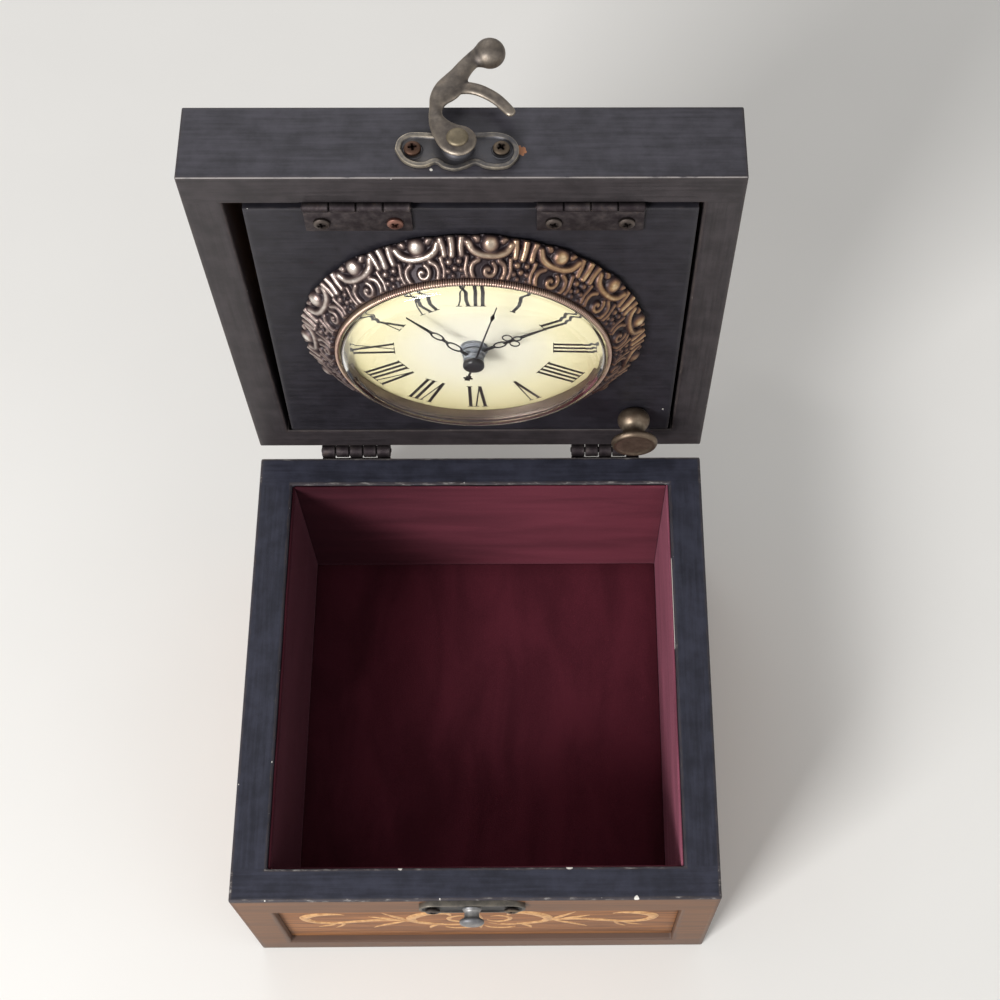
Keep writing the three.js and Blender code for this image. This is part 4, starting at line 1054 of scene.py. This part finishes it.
stopLug = (((78.6, 69.8), (85.1, 71)), ((84, 69.9), (85.2, 75.5)))  # foot and upright, Y and Z
alongX = turned(90, "Y")


# what each leaf is called, its body and hinge, its way from the pin and towards the wood,
# how far it reaches, how far it stands off the pin, and its first knuckle
leaves = (
    ("door_hinge", "door", doorHinge, (0, 0, -1), (0, 1, 0), 10.9, 0.5, 0),
    ("door_hinge_frame", "lid", doorHinge, (0, 1, 0), (0, 0, 1), 10.4, 0.7, 1),
    ("case_hinge", "case", lidHinge, (0, 0, -1), (0, -1, 0), 16, 2.8, 0),
    ("lid_hinge", "lid", lidHinge, (0, 1, 0), (0, 0, 1), 16, 2.8, 1),
)


def makeLeaf(side, name, body, hinge, run, face, reach, offset, first):
    # a plate with its knuckles
    middle, width = hinge["middles"][side], hinge["width"]
    pinY, pinZ = hinge["axis"]
    barrel, plate, bore = hinge["barrel"], hinge["plate"], hinge["pin"] + 0.15
    hand = 1 if Vector((1, 0, 0)).cross(Vector(run)).dot(Vector(face)) > 0 else -1
    axes = Matrix(((hand, 0, 0), run, face)).transposed().to_4x4()
    place = moved((middle, pinY, pinZ)) @ axes
    bm = startMesh()
    under = offset - plate
    start = math.sqrt(max((barrel + 0.3) ** 2 - under ** 2, 0.01)) + 0.05
    addBox(bm, (-width / 2, start, under), (width / 2, reach, offset))
    pitch = width / hinge["knuckles"]
    for i in range(first, hinge["knuckles"], 2):
        low = -width / 2 + i * pitch + (0.15 if i else 0)
        high = -width / 2 + (i + 1) * pitch - (0.15 if i < hinge["knuckles"] - 1 else 0)
        if hand < 0:
            low, high = -high, -low
        addBox(bm, (low, barrel * 0.6, under), (high, start + 0.3, offset))
        half = (high - low) / 2
        spinLine(bm, [
            (bore, -half), (barrel - 0.25, -half), (barrel, -half + 0.25), (barrel, -half * 0.3),
            (barrel, half * 0.3), (barrel, half - 0.25), (barrel - 0.25, half), (bore, half),
        ], 24, moved(((low + high) / 2, 0, 0)) @ alongX, True)
    outward(bm)
    softenEdges(bm, 0.16, 0.0, 2, 50)
    markRaised(bm, 0.5, 1)
    moveAll(bm, place)
    makePiece(f"{name}_plate_{side}", bm, hingeMetal, body, [f"{name}_leaf_{side}"], angle=35)


def makeHinges():
    for side in ("left", "right"):
        for leaf in leaves:
            makeLeaf(side, *leaf)
        outer = lidHinge["middles"][side] + (12 if side == "right" else -12)
        inner = outer - (3 if side == "right" else -3)
        bm = startMesh()
        for (lowY, lowZ), (highY, highZ) in stopLug:
            addBox(bm, (min(inner, outer), lowY, lowZ), (max(inner, outer), highY, highZ))
        softenEdges(bm, 0.2)
        makePiece(f"lid_stop_lug_{side}", bm, hingeMetal, "case", slot="dark_steel")
        for name, hinge, body in (("lid_hinge_pin_", lidHinge, "case"), ("door_hinge_pin_", doorHinge, "lid")):
            pinY, pinZ = hinge["axis"]
            half, radius = hinge["width"] / 2 + 0.35, hinge["pin"]
            makeTurned(name + side + "_rod", [
                (0, -half), (radius * 0.7, -half + 0.03), (radius, -half + 0.25), (radius, 0),
                (radius, half - 0.25), (radius * 0.7, half - 0.03), (0, half),
            ], 20, moved((hinge["middles"][side], pinY, pinZ)) @ alongX, 0.6, hingeMetal, body,
                [name + side])


# Swing hook, its plate and rivet

hook = {
    "pivot": (-1.2, 90.8),
    "plate": (233.2, 234.5),
    "rim": 1.3,
    "sink": 0.62,
    "outline": (
        (-17.1, -0.9), (-16.4, 2.3), (-13.9, 4.4), (-10.8, 4.7), (-5.5, 4.4), (0, 4.8), (5.5, 4.5), (10.2, 4.7),
        (14.0, 3.5), (16.3, 0.5), (16.4, -3.2), (14.2, -6.3), (10.8, -7.2), (7.4, -6.7), (4.8, -5.6), (2.1, -6.8),
        (-0.9, -7.6), (-3.9, -6.8), (-6.0, -5.3), (-8.6, -6.4), (-11.9, -6.3), (-15.0, -4.5),
    ),
    "bottom": 235.75,
    "flat": 0.55,
    "most": 1.4,
    # x, y and half width from the rivet, along the spine and along the prong
    "spine": (
        (0.2, -0.2, 5.1), (-1.0, 0.4, 4.8), (-3.4, 2.7, 3.6), (-5.3, 5.5, 2.6), (-6.1, 8.3, 2.0), (-6.0, 11.2, 2.0),
        (-5.0, 14.2, 2.9), (-3.0, 16.9, 3.9), (-1.3, 19.4, 3.6), (0.1, 22.0, 2.9), (1.8, 24.8, 2.6), (3.8, 27.2, 2.6),
        (5.4, 28.3, 3.1), (6.8, 28.8, 3.6),
    ),
    "prong": (
        (-3.6, 16.3, 2.6), (-0.8, 17.6, 2.25), (2.4, 17.8, 2.0), (5.2, 17.2, 1.95), (7.8, 15.9, 1.9),
        (10.2, 14.2, 1.85), (12.2, 12.2, 1.75), (13.7, 10.4, 1.65), (14.2, 9.7, 1.55),
    ),
    "ball": (8.5, 29.2, 4.42, 237.66),
    "grain": 0.26,
    "rivet": (
        (0, 239.25), (1.3, 239.22), (2.3, 239.05), (2.85, 238.8), (3.0, 238.5), (3.0, 238.1), (2.4, 237.8),
        (1.6, 237.6), (1.6, 234.5), (1.5, 227.6), (0, 227),
    ),
    "sinks": (-12.3, 11.8),
    # blends the neck into the ball: x, y, height and size
    "throat": (
        (2.4, 25.7, 236.9, 1.95), (3.4, 26.6, 237.0, 2.1), (4.4, 27.4, 237.1, 2.35), (5.3, 28.0, 237.2, 2.75),
        (6.2, 28.4, 237.3, 3.25), (7.2, 28.8, 237.4, 3.75),
    ),
}


def makeHook():
    x, y = hook["pivot"]
    foot, top = hook["plate"]
    outline = smoothFlat((*hook["outline"], hook["outline"][0]), 4)[:-1]
    place = moved((x, y, 0))
    bm = startMesh()
    addPlate(bm, outline, foot, top, place)
    outward(bm)
    crown = max(bm.faces, key=lambda f: f.normal.z * 10 + f.calc_center_median().z)
    insetFace(bm, crown, 0.35)
    insetFace(bm, crown, hook["rim"] - 0.35)
    insetFace(bm, crown, 0.4, -hook["sink"])
    softenEdges(bm, 0.22, 0, 2, 35)
    bmesh.ops.triangulate(bm, faces=[f for f in bm.faces if len(f.verts) > 4])
    markRaised(bm, 1.6, 1)
    spinLine(bm, [
        (0, foot + 0.2), (4.6, foot + 0.2), (4.5, top + 0.1), (4.3, top + 0.5), (3.9, 235.55), (0, 235.6),
    ], 40, place)
    for centre in hook["sinks"]:  # countersinks round the screws
        rim = [(2.5, top - 0.75), (2.75, top - 0.5), (3.0, top - 0.62)]
        spinLine(bm, rim, 32, place @ moved((centre, -1, 0)))
    makePiece("latch_plate_cast", bm, brass, "lid", ["latch_plate"])

    bm = startMesh()
    for line in ("spine", "prong"):
        for point in smoothPath(hook[line], 7):
            size = point.z
            rise = min(max(size * hook["flat"], 0.95), hook["most"])
            spot = moved((point.x, point.y, hook["bottom"] + rise))
            bmesh.ops.create_icosphere(
                bm, subdivisions=3, radius=1, matrix=spot @ scaled(size, size, rise),
            )
    ballX, ballY, ballSize, ballZ = hook["ball"]
    ballShape = moved((ballX, ballY, ballZ)) @ scaled(1, 1, 0.91)
    bmesh.ops.create_uvsphere(bm, u_segments=24, v_segments=16, radius=ballSize, matrix=ballShape)
    for x0, y0, z0, size in hook["throat"]:
        shape = moved((x0, y0, z0)) @ scaled(1, 1, 0.8)
        bmesh.ops.create_icosphere(bm, subdivisions=3, radius=size, matrix=shape)
    bm = melt(bm, hook["grain"], 7)
    markRaised(bm, 5, 4)
    moveAll(bm, place)
    makePiece("latch_hook_cast", bm, hookBrass, "hook", ["latch_arm"], angle=70)

    makeTurned("latch_rivet_head", hook["rivet"], 32, place, 1.2, rivetBrass, "lid", ["latch_rivet"])


# Catch on the front and door knob

catch = {
    "plate": (-18.1, 15.7, 63.8, 73.6),
    "face": (78.25, 79.7),
    "stud": (-1.2, 70.8),
    "line": (
        (0, -5), (1.45, -5), (1.5, 1.75), (2.9, 1.8), (2.95, 2.15), (2.8, 2.5), (2.45, 2.9), (2.35, 3.7), (2.4, 4.5),
        (2.75, 4.95), (3.5, 5.3), (3.85, 5.65), (3.9, 6.1), (3.7, 6.6), (3.1, 7.0), (1.9, 7.28), (0, 7.38),
    ),
}

knob = {
    "at": (52.7, 81.3, 101.0),
    "line": (
        (0, 0.25), (3.6, 0.25), (4.6, 0.9), (5.3, 2.0), (5.5, 3.2), (5.3, 4.4), (4.8, 5.4), (4.2, 6.1), (3.85, 6.9),
        (3.7, 7.8), (3.9, 8.8), (4.6, 9.6), (6.0, 10.4), (7.3, 10.9), (7.8, 11.5), (7.75, 12.2), (7.35, 12.85),
        (6.75, 13.2), (6.2, 13.15), (5.6, 12.9), (4.2, 12.75), (0, 12.7),
    ),
}


def makeCatch():
    left, right, foot, top = catch["plate"]
    (back, face), front = catch["face"], case["half"][1]
    bm = startMesh()
    half, middle = (top - foot) / 2, (foot + top) / 2
    outline = []
    for centre, start in ((right - half, -90), (left + half, 90)):
        outline += [
            (centre + half * math.cos(math.radians(start + a)), middle + half * math.sin(math.radians(start + a)))
            for a in range(0, 181, 12)
        ]
    addPlate(bm, outline, front - back, face - front, facing("forward", 0, -front, 0))
    outward(bm)
    crown = max(bm.faces, key=lambda f: -f.normal.y * 10 - f.calc_center_median().y)
    insetFace(bm, crown, 0.9)
    insetFace(bm, crown, 0.35, -0.45)
    softenEdges(bm, 0.2, 0, 2, 35)
    bmesh.ops.triangulate(bm, faces=[f for f in bm.faces if len(f.verts) > 4])
    markRaised(bm, 1.5, 1)
    makePiece("catch_plate_cast", bm, darkBrass, "case", ["catch_plate"])
    x, z = catch["stud"]
    makeTurned("catch_stud_turned", smoothTurned(catch["line"]), 40, facing("forward", x, -front, z), 1.2,
               studMetal, "case", ["catch_stud"])


def smoothTurned(line, steps=2):
    # a line to be spun, made soft
    return [(max(radius, 0), height) for radius, height in smoothFlat(line, steps)]


makeScrews()
makeHinges()
makeHook()
makeCatch()
makeTurned("door_knob_turned", smoothTurned(knob["line"]), 48, facing("forward", *knob["at"]), 1.4,
           knobBrass, "door", ["door_knob"])
print("metalwork")


# Clock finishes

def giltFinish():
    # silvered bronze over dark relief, silver on the left and warmer gold on the right as painted light; the mesh
    # carries the height
    finish = Finish("clockGilt")
    relief = finish.mark("wear")
    patch = finish.noise(even, 0.22, 4, 0.6)
    fine = finish.noise(even, 1.6, 4, 0.6)
    # painted light: silver with whiter tops on the lit left, warmer and darker gold on the right; next, painted shade
    # dulls the tops towards the bottom
    side = finish.step(finish.along("X") + patch * 24 - 12, -22, 34)
    shadow = finish.step(finish.along("Z") + patch * 20, 168, 118)
    level = finish.step(relief + patch * 0.4 - 0.2 - shadow * 0.25, 0.3, 1.1)
    silver = finish.ramp(
        level, (0.0, shade(44, 33, 37)), (0.4, shade(84, 68, 66)), (0.68, shade(128, 112, 106)),
        (0.88, shade(182, 170, 162)), (1.0, shade(232, 226, 218)),
    )
    gold = finish.ramp(
        level, (0.0, shade(42, 30, 34)), (0.4, shade(82, 60, 54)), (0.68, shade(128, 96, 74)),
        (0.88, shade(172, 138, 102)), (1.0, shade(222, 196, 158)),
    )
    return finish.surface(
        finish.tint(silver, gold, side), 0.4 - level * 0.16 + fine * 0.14, (fine, 0.35, 0.12),
        {"Metallic": 0.4 + level * 0.45},
    )


def reedFinish():
    finish = Finish("reededCopper")
    patch = finish.noise(even, 0.12, 3, 0.6)
    wear = finish.mark("wear")
    body = finish.tint(shade(96, 68, 60), shade(234, 200, 182), finish.step(wear, 0.1, 0.9))
    body = finish.tint(body, shade(220, 196, 168), finish.step(patch, 0.45, 0.65) * 0.5)
    return finish.surface(body, 0.26 + patch * 0.14, None, {"Metallic": 0.95})


def bezelFinish():
    finish = Finish("polishedBezel")
    brushed = finish.noise(even, 0.9, 3, 0.6)
    patch = finish.noise(even, 0.05, 2)
    body = finish.tint(shade(112, 102, 99), shade(140, 130, 126), patch)
    return finish.surface(body, 0.24 + brushed * 0.12, None, {"Metallic": 1.0})


def lensFinish():
    finish = Finish("clearLens")
    haze = finish.noise(even, 0.1, 3, 0.6)
    glass = finish.shader({
        "Base Color": (0.99, 0.99, 0.985, 1), "Roughness": 0.01 + haze * 0.03, "IOR": 1.45,
        "Transmission Weight": 1.0,
    })
    clear = finish.node("ShaderNodeBsdfTransparent", {}, {"Color": (0.97, 0.97, 0.96, 1)})
    shadow = finish.node("ShaderNodeLightPath", output="Is Shadow Ray")
    return finish.done(finish.node("ShaderNodeMixShader", {}, {0: shadow, 1: glass, 2: clear}))


def dialFinish():
    finish = Finish("dialPaper")
    x, y, z = clock["at"]
    away = finish.distance((x, y, z))
    cloud = finish.noise(even, 0.06, 3)
    fibre = finish.noise(even, 3, 3, 0.6)
    body = finish.ramp(
        (away + cloud * 8) / 46, (0.0, shade(204, 200, 190)), (0.45, shade(205, 201, 184)),
        (0.74, shade(203, 196, 162)), (1.0, shade(196, 186, 142)),
    )
    return finish.surface(body, 0.45 + fibre * 0.1, (fibre, 0.15, 0.03))


clock = {
    "at": (0.5, 81.3, 155.0),
    "repeats": 15,
    "turn": 7.142857,  # first boss, degrees clockwise from the top, on a column
    "columns": 84,  # of mesh in one repeat
    "rows": 50,
    "slope": ((43.0, 9.1), (52.0, 0.75)),
    "well": ((38.2, 0.25), (38.2, 4.9), (41.7, 4.9), (42.1, 6.6), (42.5, 8.9)),
    "foot": (51.6, 0.25),
    "swell": 0.95,
    "reeds": 373,
    "round": 49,  # radius at which the widths of the ornament are true
    "reach": 12.28,  # along the slope
    # radius and height above the door, along each turned line
    "crown": (
        (41.25, 9.9), (41.3, 10.4), (41.5, 10.7), (41.75, 10.8), (42.05, 10.78), (42.35, 10.6), (42.58, 10.2),
        (42.6, 9.4), (42.58, 8.95), (42.2, 9.0),
    ),
    "bezel": (
        (40.6, 6.2), (40.75, 7.2), (40.9, 8.2), (41.05, 9.2), (41.15, 10.0), (41.3, 10.35), (41.6, 10.3),
        (42.1, 10.0), (42.15, 9.2), (41.8, 8.2), (41.6, 6.3), (41.2, 6.15),
    ),
    "lens": (
        ((40.8, 9.9), (40.85, 10.9), (40.6, 11.8), (39.9, 12.6), (38.8, 13.15), (36.4, 13.75), (29, 14.6),
         (20, 15.3), (10, 15.7), (0, 15.8)),
        ((39.5, 9.9), (39.5, 10.6), (39.2, 11.1), (38.4, 11.6), (37.4, 11.95), (35.4, 12.5), (29, 13.5),
         (20, 14.3), (10, 14.75), (0, 14.9)),
    ),
    "dial": ((3.2, 5.5), (20, 5.5), (40.9, 5.5), (41, 5.6), (41, 5.95), (40.9, 6), (30, 6), (15, 6), (3.2, 6)),
}
clockFace = facing("forward", *clock["at"])


# Raised ornament of the clock's skirt, one repeat; across and out from the rim

relief = {
    "domes": (
        (0.1, 10.0, 2.8, 1.9), (8.7, 5.0, 1.35, 1.2), (10.3, 3.1, 1.2, 1.0), (8.2, 2.3, 1.1, 1.0),
        (-8.8, 5.2, 1.2, 1.1), (-8.2, 2.7, 1.1, 1.0), (9.6, 0.9, 1.0, 0.8), (-7.9, 0.7, 0.9, 0.7),
    ),
    "strokes": (
        # cup under the boss
        (((-6.0, 10.6), (-4.9, 8.4), (-2.6, 7.1), (0, 6.8), (2.6, 7.1), (4.9, 8.4), (6.0, 10.6)), 1.45, 1.5),
        (((-4.2, 12.1), (-3.5, 11.1)), 1.2, 1.2),
        (((4.2, 12.1), (3.5, 11.1)), 1.2, 1.2),
        # fat leaves between the bosses
        (((7.6, 7.2), (7.4, 9.4), (6.9, 11.8)), 1.25, 1.4),
        (((9.8, 7.0), (10.0, 9.4), (9.8, 12.2)), 1.35, 1.6),
        (((-8.0, 7.1), (-8.1, 9.4), (-7.7, 12.0)), 1.3, 1.45),
        # arcs round the spiral
        (((4.6, 0.4), (5.2, 2.4), (4.7, 4.4), (3.1, 5.5)), 1.15, 1.15),
        (((6.6, 0.8), (7.0, 2.9), (6.6, 5.0), (6.4, 6.4)), 0.95, 1.1),
        (((-4.6, 0.4), (-5.2, 2.4), (-4.7, 4.4), (-3.1, 5.5)), 1.15, 1.15),
        (((-6.6, 0.8), (-7.0, 2.9), (-6.6, 5.0), (-6.4, 6.4)), 0.95, 1.1),
    ),
    "spiral": ((0.1, 2.6), 0.3, 2.5, 1.0, 1.05, 1.2),  # middle, inner, outer, turns, half width, height
}


def strokeShape(t, s, points, half):
    # a round-backed line through points, 1 along its crest
    best = np.full(t.shape, 9.0)
    for (x0, y0), (x1, y1) in zip(points, points[1:]):
        dx, dy = x1 - x0, y1 - y0
        along = np.clip(((t - x0) * dx + (s - y0) * dy) / (dx * dx + dy * dy), 0, 1)
        best = np.minimum(best, np.hypot(t - x0 - along * dx, s - y0 - along * dy))
    return np.clip(1 - (best / half) ** 2, 0, 1) ** 0.7


def reliefHeight(t, s):
    pitch = 2 * math.pi * clock["round"] / clock["repeats"]
    # height above the slope and how near each point is to the crest of its shape
    total, crest = np.zeros(t.shape), np.zeros(t.shape)
    (midT, midS), inner, outer, turns, half, height = relief["spiral"]
    spiral = []
    for k in range(33):
        share = k / 32
        angle = math.radians(60) + share * turns * 2 * math.pi
        radius = inner + (outer - inner) * share
        spiral.append((midT + radius * math.cos(angle), midS + radius * math.sin(angle)))
    for shift in (-pitch, 0, pitch):
        here = t - shift
        shapes = [(strokeShape(here, s, spiral, half), height)]
        for x, y, radius, rise in relief["domes"]:
            away = np.hypot(here - x, s - y) / radius
            shapes.append((np.clip(1 - away ** 2, 0, 1) ** 0.6, rise))
        for points, width, rise in relief["strokes"]:
            shapes.append((strokeShape(here, s, smoothFlat(points, 4), width), rise))
        for shape, rise in shapes:
            total, crest = np.maximum(total, rise * shape), np.maximum(crest, shape * (0.55 + 0.25 * rise))
    return total, crest


def makeSkirt():
    (lowR, lowH), (highR, highH) = clock["slope"]
    rows, repeats = clock["rows"], clock["repeats"]
    slope = [(lowR + (highR - lowR) * k / rows, lowH + (highH - lowH) * k / rows) for k in range(rows + 1)]
    bm = startMesh()
    spinLine(bm, [*clock["well"], *slope, clock["foot"]], clock["columns"] * repeats, upright, True)
    outward(bm)
    wear = bm.verts.layers.float["wear"]
    verts = list(bm.verts)
    place = np.array([v.co for v in verts])
    radius, high = np.hypot(place[:, 0], place[:, 1]), place[:, 2]
    turn = np.arctan2(place[:, 0], place[:, 1])  # clockwise from the top
    length = math.hypot(highR - lowR, highH - lowH)
    dirR, dirH = (highR - lowR) / length, (highH - lowH) / length
    s = (radius - lowR) * dirR + (high - lowH) * dirH
    off = np.abs((radius - lowR) * dirH - (high - lowH) * dirR)
    onSlope = (off < 0.02) & (s > -0.01) & (s < length + 0.01)
    step = 2 * math.pi / repeats
    first = math.radians(clock["turn"])
    phase = (turn - first + step / 2) % step - step / 2
    columns = clock["columns"]
    gridT, gridS = np.meshgrid(
        (np.arange(columns + 1) - columns / 2) * step * clock["round"] / columns,
        np.arange(rows + 1) * clock["reach"] / rows, indexing="ij",
    )
    tile, crests = reliefHeight(gridT, gridS)
    across = np.clip(np.rint(phase / step * columns + columns / 2).astype(int), 0, columns)
    level = np.clip(np.rint(s / length * rows).astype(int), 0, rows)
    height, crest = tile[across, level], crests[across, level]
    cell = np.sin(place[:, 0] * 1.9 + 2 * np.sin(place[:, 1] * 1.3)) * np.sin(place[:, 1] * 2.1 + place[:, 0])
    height = height * (1 + 0.03 * cell) * onSlope
    normalR, normalH = -dirH, dirR
    share = np.clip(s / length, 0, 1)
    boss = np.clip(np.cos(repeats * (turn - first)), 0, 1) ** 0.7
    palm = np.clip(-np.cos(repeats * (turn - first)), 0, 1) ** 0.7
    swell = (boss * clock["swell"] + palm * 0.55) * share ** 3 * onSlope
    fade = np.clip(s / 0.5, 0, 1) * np.clip((length - s) / 0.15, 0.25, 1)
    newR = radius + height * normalR * fade + swell
    newH = high + height * normalH * fade
    for i, vert in enumerate(verts):
        if onSlope[i]:
            vert.co.x *= newR[i] / radius[i]
            vert.co.y *= newR[i] / radius[i]
            vert.co.z = max(newH[i], 0.25)
            vert[wear] = min(crest[i], 1)
    moveAll(bm, clockFace)
    makePiece("clock_skirt_relief", bm, giltFinish(), "door", ["clock_skirt"], angle=80)


def makeRim():
    bm = startMesh()
    spinLine(bm, clock["crown"], clock["reeds"] * 4, upright, True)
    wear = bm.verts.layers.float["wear"]
    for vert in bm.verts:
        radius = math.hypot(vert.co.x, vert.co.y)
        turn = math.atan2(vert.co.x, vert.co.y)
        reed = 0.5 + 0.5 * math.cos(clock["reeds"] * turn)
        depth = 0.26 * (1 - reed) * min(max((radius - 41.3) / 0.3, 0), 1)
        scale = 1 - depth * (0.8 if radius > 42.1 else 0.1) / radius
        vert.co.x, vert.co.y = vert.co.x * scale, vert.co.y * scale
        if vert.co.z > 10.2:
            vert.co.z -= depth * 0.8
        vert[wear] = reed
    moveAll(bm, clockFace)
    makePiece("clock_rim_reeds", bm, reedFinish(), "door", slot="rim_metal", angle=80)
    makeTurned("clock_bezel_wall", clock["bezel"], 192, clockFace, 0, bezelFinish(), "door", ["clock_rim"],
               angle=50, closed=True)


def makeLens():
    outer, inner = (smoothTurned(line, 3) for line in clock["lens"])
    bm = startMesh()
    spinLine(bm, outer + inner[::-1], 160, clockFace)
    bmesh.ops.bridge_loops(bm, edges=[e for e in bm.edges if e.is_boundary])
    makePiece("clock_lens_dome", bm, lensFinish(), "door", ["clock_lens"], angle=60)


def makeDial():
    makeTurned("clock_dial_card", clock["dial"], 160, clockFace, 0, dialFinish(), "door", ["clock_dial"],
               closed=True)


numeral = {
    "radii": (24.6, 38.3),
    "thin": 0.3,
    # width; foot, top and width of each bar; ends of each serif, 0 at the foot and 1 at the top
    "letters": {
        "I": (2.15, ((0, 0, 1.1),), ((-0.989, 0.989, 0), (-0.989, 0.989, 1))),
        "V": (4.7, ((0.1, -1.41, 1.1), (0.25, 1.692, 0.45)), ((-2.35, -0.282, 1), (0.752, 2.35, 1))),
        "X": (4.9, ((1.47, -1.47, 1.1), (-1.666, 1.666, 0.45)), (
            (-2.352, -0.49, 0), (0.49, 2.352, 0), (-2.352, -0.49, 1), (0.49, 2.352, 1),
        )),
    },
    "level": (6.0, 6.05),
    "names": ("XII", "I", "II", "III", "IIII", "V", "VI", "VII", "VIII", "IX", "X", "XI"),
}


def makeNumerals():
    low, high = numeral["radii"]
    thin, (under, over) = numeral["thin"], numeral["level"]
    bm = startMesh()
    for hour, name in enumerate(numeral["names"]):
        place = clockFace @ turned(-30 * hour)
        x = -sum(numeral["letters"][c][0] for c in name) / 2
        for letter in name:
            wide, bars, serifs = numeral["letters"][letter]
            middle = x + wide / 2
            for foot, top, width in bars:
                foot, top, half = middle + foot, middle + top, width / 2
                addPlate(bm, ((foot - half, low), (foot + half, low), (top + half, high), (top - half, high)),
                         under, over, place)
            for left, right, end in serifs:
                left, right, level = middle + left, middle + right, high - thin if end else low
                addPlate(bm, ((left, level), (right, level), (right, level + thin), (left, level + thin)),
                         under, over, place)
            x += wide
    makePiece("clock_numerals", bm, ink, "door", slot="black_metal")


hands = {
    "hour": {
        "turn": 56.0, "level": 8.1, "thick": 0.42,
        "bars": ((0, 8.0, 1.35, 0.95), (11.8, 15.2, 1.0, 1.0), (17.4, 28.0, 1.15, 0.25)),
        "loops": ((0, 9.9, 1.35, 2.1), (-2.0, 14.0, 1.6, 1.4), (2.0, 14.0, 1.6, 1.4), (0, 16.2, 1.1, 1.5)),
    },
    "minute": {
        "turn": -38.0, "level": 9.9, "thick": 0.4,
        "bars": ((0, 6.4, 1.25, 0.85), (12.0, 14.6, 0.8, 0.8), (19.4, 31.0, 1.0, 0.25)),
        "loops": ((0, 9.2, 1.35, 2.95), (0, 17.0, 1.15, 2.55)),
    },
    "second": {
        "turn": 13.5, "level": 11.8, "thick": 0.36,
        "bars": ((-10.2, 33.4, 0.75, 0.28), (25.6, 27.8, 0.35, 1.3), (27.8, 29.8, 1.3, 0.35)),
        "loops": (),
    },
    "wall": 0.24,
    "star": ((-1.5, -0.14), (0, -0.32), (1.5, -0.14), (1.5, 0.14), (0, 0.32), (-1.5, 0.14)),
}


def makeHand(name):
    spec = hands[name]
    low, high = spec["level"], spec["level"] + spec["thick"]
    place = clockFace @ turned(-spec["turn"])
    bm = startMesh()
    for start, end, lowWidth, highWidth in spec["bars"]:
        addPlate(bm, (
            (-lowWidth / 2, start), (lowWidth / 2, start), (highWidth / 2, end), (-highWidth / 2, end),
        ), low, high, place)
    wall = hands["wall"]
    for x, y, halfX, halfY in spec["loops"]:
        ring = [
            (1 + wall / halfX * math.cos(math.radians(a)), 0.5 * (high - low) * math.sin(math.radians(a)))
            for a in range(0, 360, 45)
        ]
        shape = place @ moved((x, y, (low + high) / 2)) @ scaled(halfX, halfY, 1)
        spinLine(bm, ring, 36, shape, True)
    if name == "hour":
        spot = place @ moved((0, 11.6, (low + high) / 2)) @ scaled(1, 1, 0.5)
        bmesh.ops.create_uvsphere(bm, u_segments=14, v_segments=8, radius=0.55, matrix=spot)
    if name == "second":
        for turn in (0, 60, 120):
            star = place @ moved((0, -9, 0)) @ turned(turn)
            addPlate(bm, hands["star"], low, high, star)
    makePiece(name + "_hand_blade", bm, blackMetal, name, [name + "_hand"], angle=35)


hubs = {
    "nut": (
        (3.2, 6.0), (4.35, 6.0), (4.4, 6.15), (4.4, 7.0), (4.1, 7.2), (4.05, 7.5), (3.9, 7.7), (2.6, 7.75),
        (2.6, 6.0),
    ),
    "hour_hub": (
        (1.6, 7.8), (3.3, 7.8), (3.6, 8.0), (3.65, 8.6), (3.5, 9.0), (3.0, 9.15), (2.95, 9.45), (1.6, 9.5),
    ),
    "minute_hub": (
        (1.0, 9.6), (2.9, 9.6), (3.2, 9.75), (3.25, 10.5), (3.1, 10.8), (2.75, 10.95), (2.7, 11.3), (1.0, 11.35),
    ),
    "second_cap": (
        (0, 11.45), (2.9, 11.45), (3.25, 11.7), (3.35, 12.2), (3.3, 12.9), (3.0, 13.3), (2.4, 13.5), (0, 13.6),
    ),
}


def makeHubs():
    for name, line in hubs.items():
        cap = name == "second_cap"
        body = "door" if name == "nut" else name.split("_")[0]
        makeTurned(
            "clock_" + name, line, 48, clockFace, 0.8, blackMetal if cap else hubZinc, body,
            ["mounting_nut"] if name == "nut" else [], "black_metal" if cap else "grey_metal", 35, not cap,
        )


def makeWorks():
    # soft-edged copies of the plain works
    for node, body, finish, edge in (
        ("movement_case", "door", blackPlastic, 0.5), ("setting_wheel", "setter", blackPlastic, 0.2),
        ("battery", "door", cellShell, 0.15),
    ):
        bm = startMesh()
        bm.from_mesh(frame["nodes"][node].data)
        bmesh.ops.scale(bm, vec=(1 / unit, 1 / unit, 1 / unit), verts=bm.verts)
        bmesh.ops.remove_doubles(bm, verts=bm.verts, dist=0.005)
        bmesh.ops.dissolve_limit(bm, angle_limit=math.radians(2), verts=bm.verts, edges=bm.edges)
        softenEdges(bm, edge, 0, 2, 60)
        makePiece(node + "_shell", bm, finish, body, [node], angle=35)


makeSkirt()
makeRim()
makeLens()
makeDial()
makeNumerals()
for name in ("hour", "minute", "second"):
    makeHand(name)
makeHubs()
makeWorks()
print("clock")


# CAD nodes that keep their own shape

kept = {
    "dark_steel": darkMetal, "aged_brass": brass, "grey_metal": zinc, "black_plastic": blackPlastic,
    "cell_shell": cellShell, "black_metal": blackMetal, "painted_wood": rimPaintX, "panel_wood": panelWood,
    "gilt_metal": brass, "rim_metal": brass, "velvet": velvetWall, "dial_face": liningCard, "clear_lens": liningCard,
}
for node, holder in frame["nodes"].items():
    holder.data.materials.clear()
    holder.data.materials.append(kept[slots[node]])

print("done")
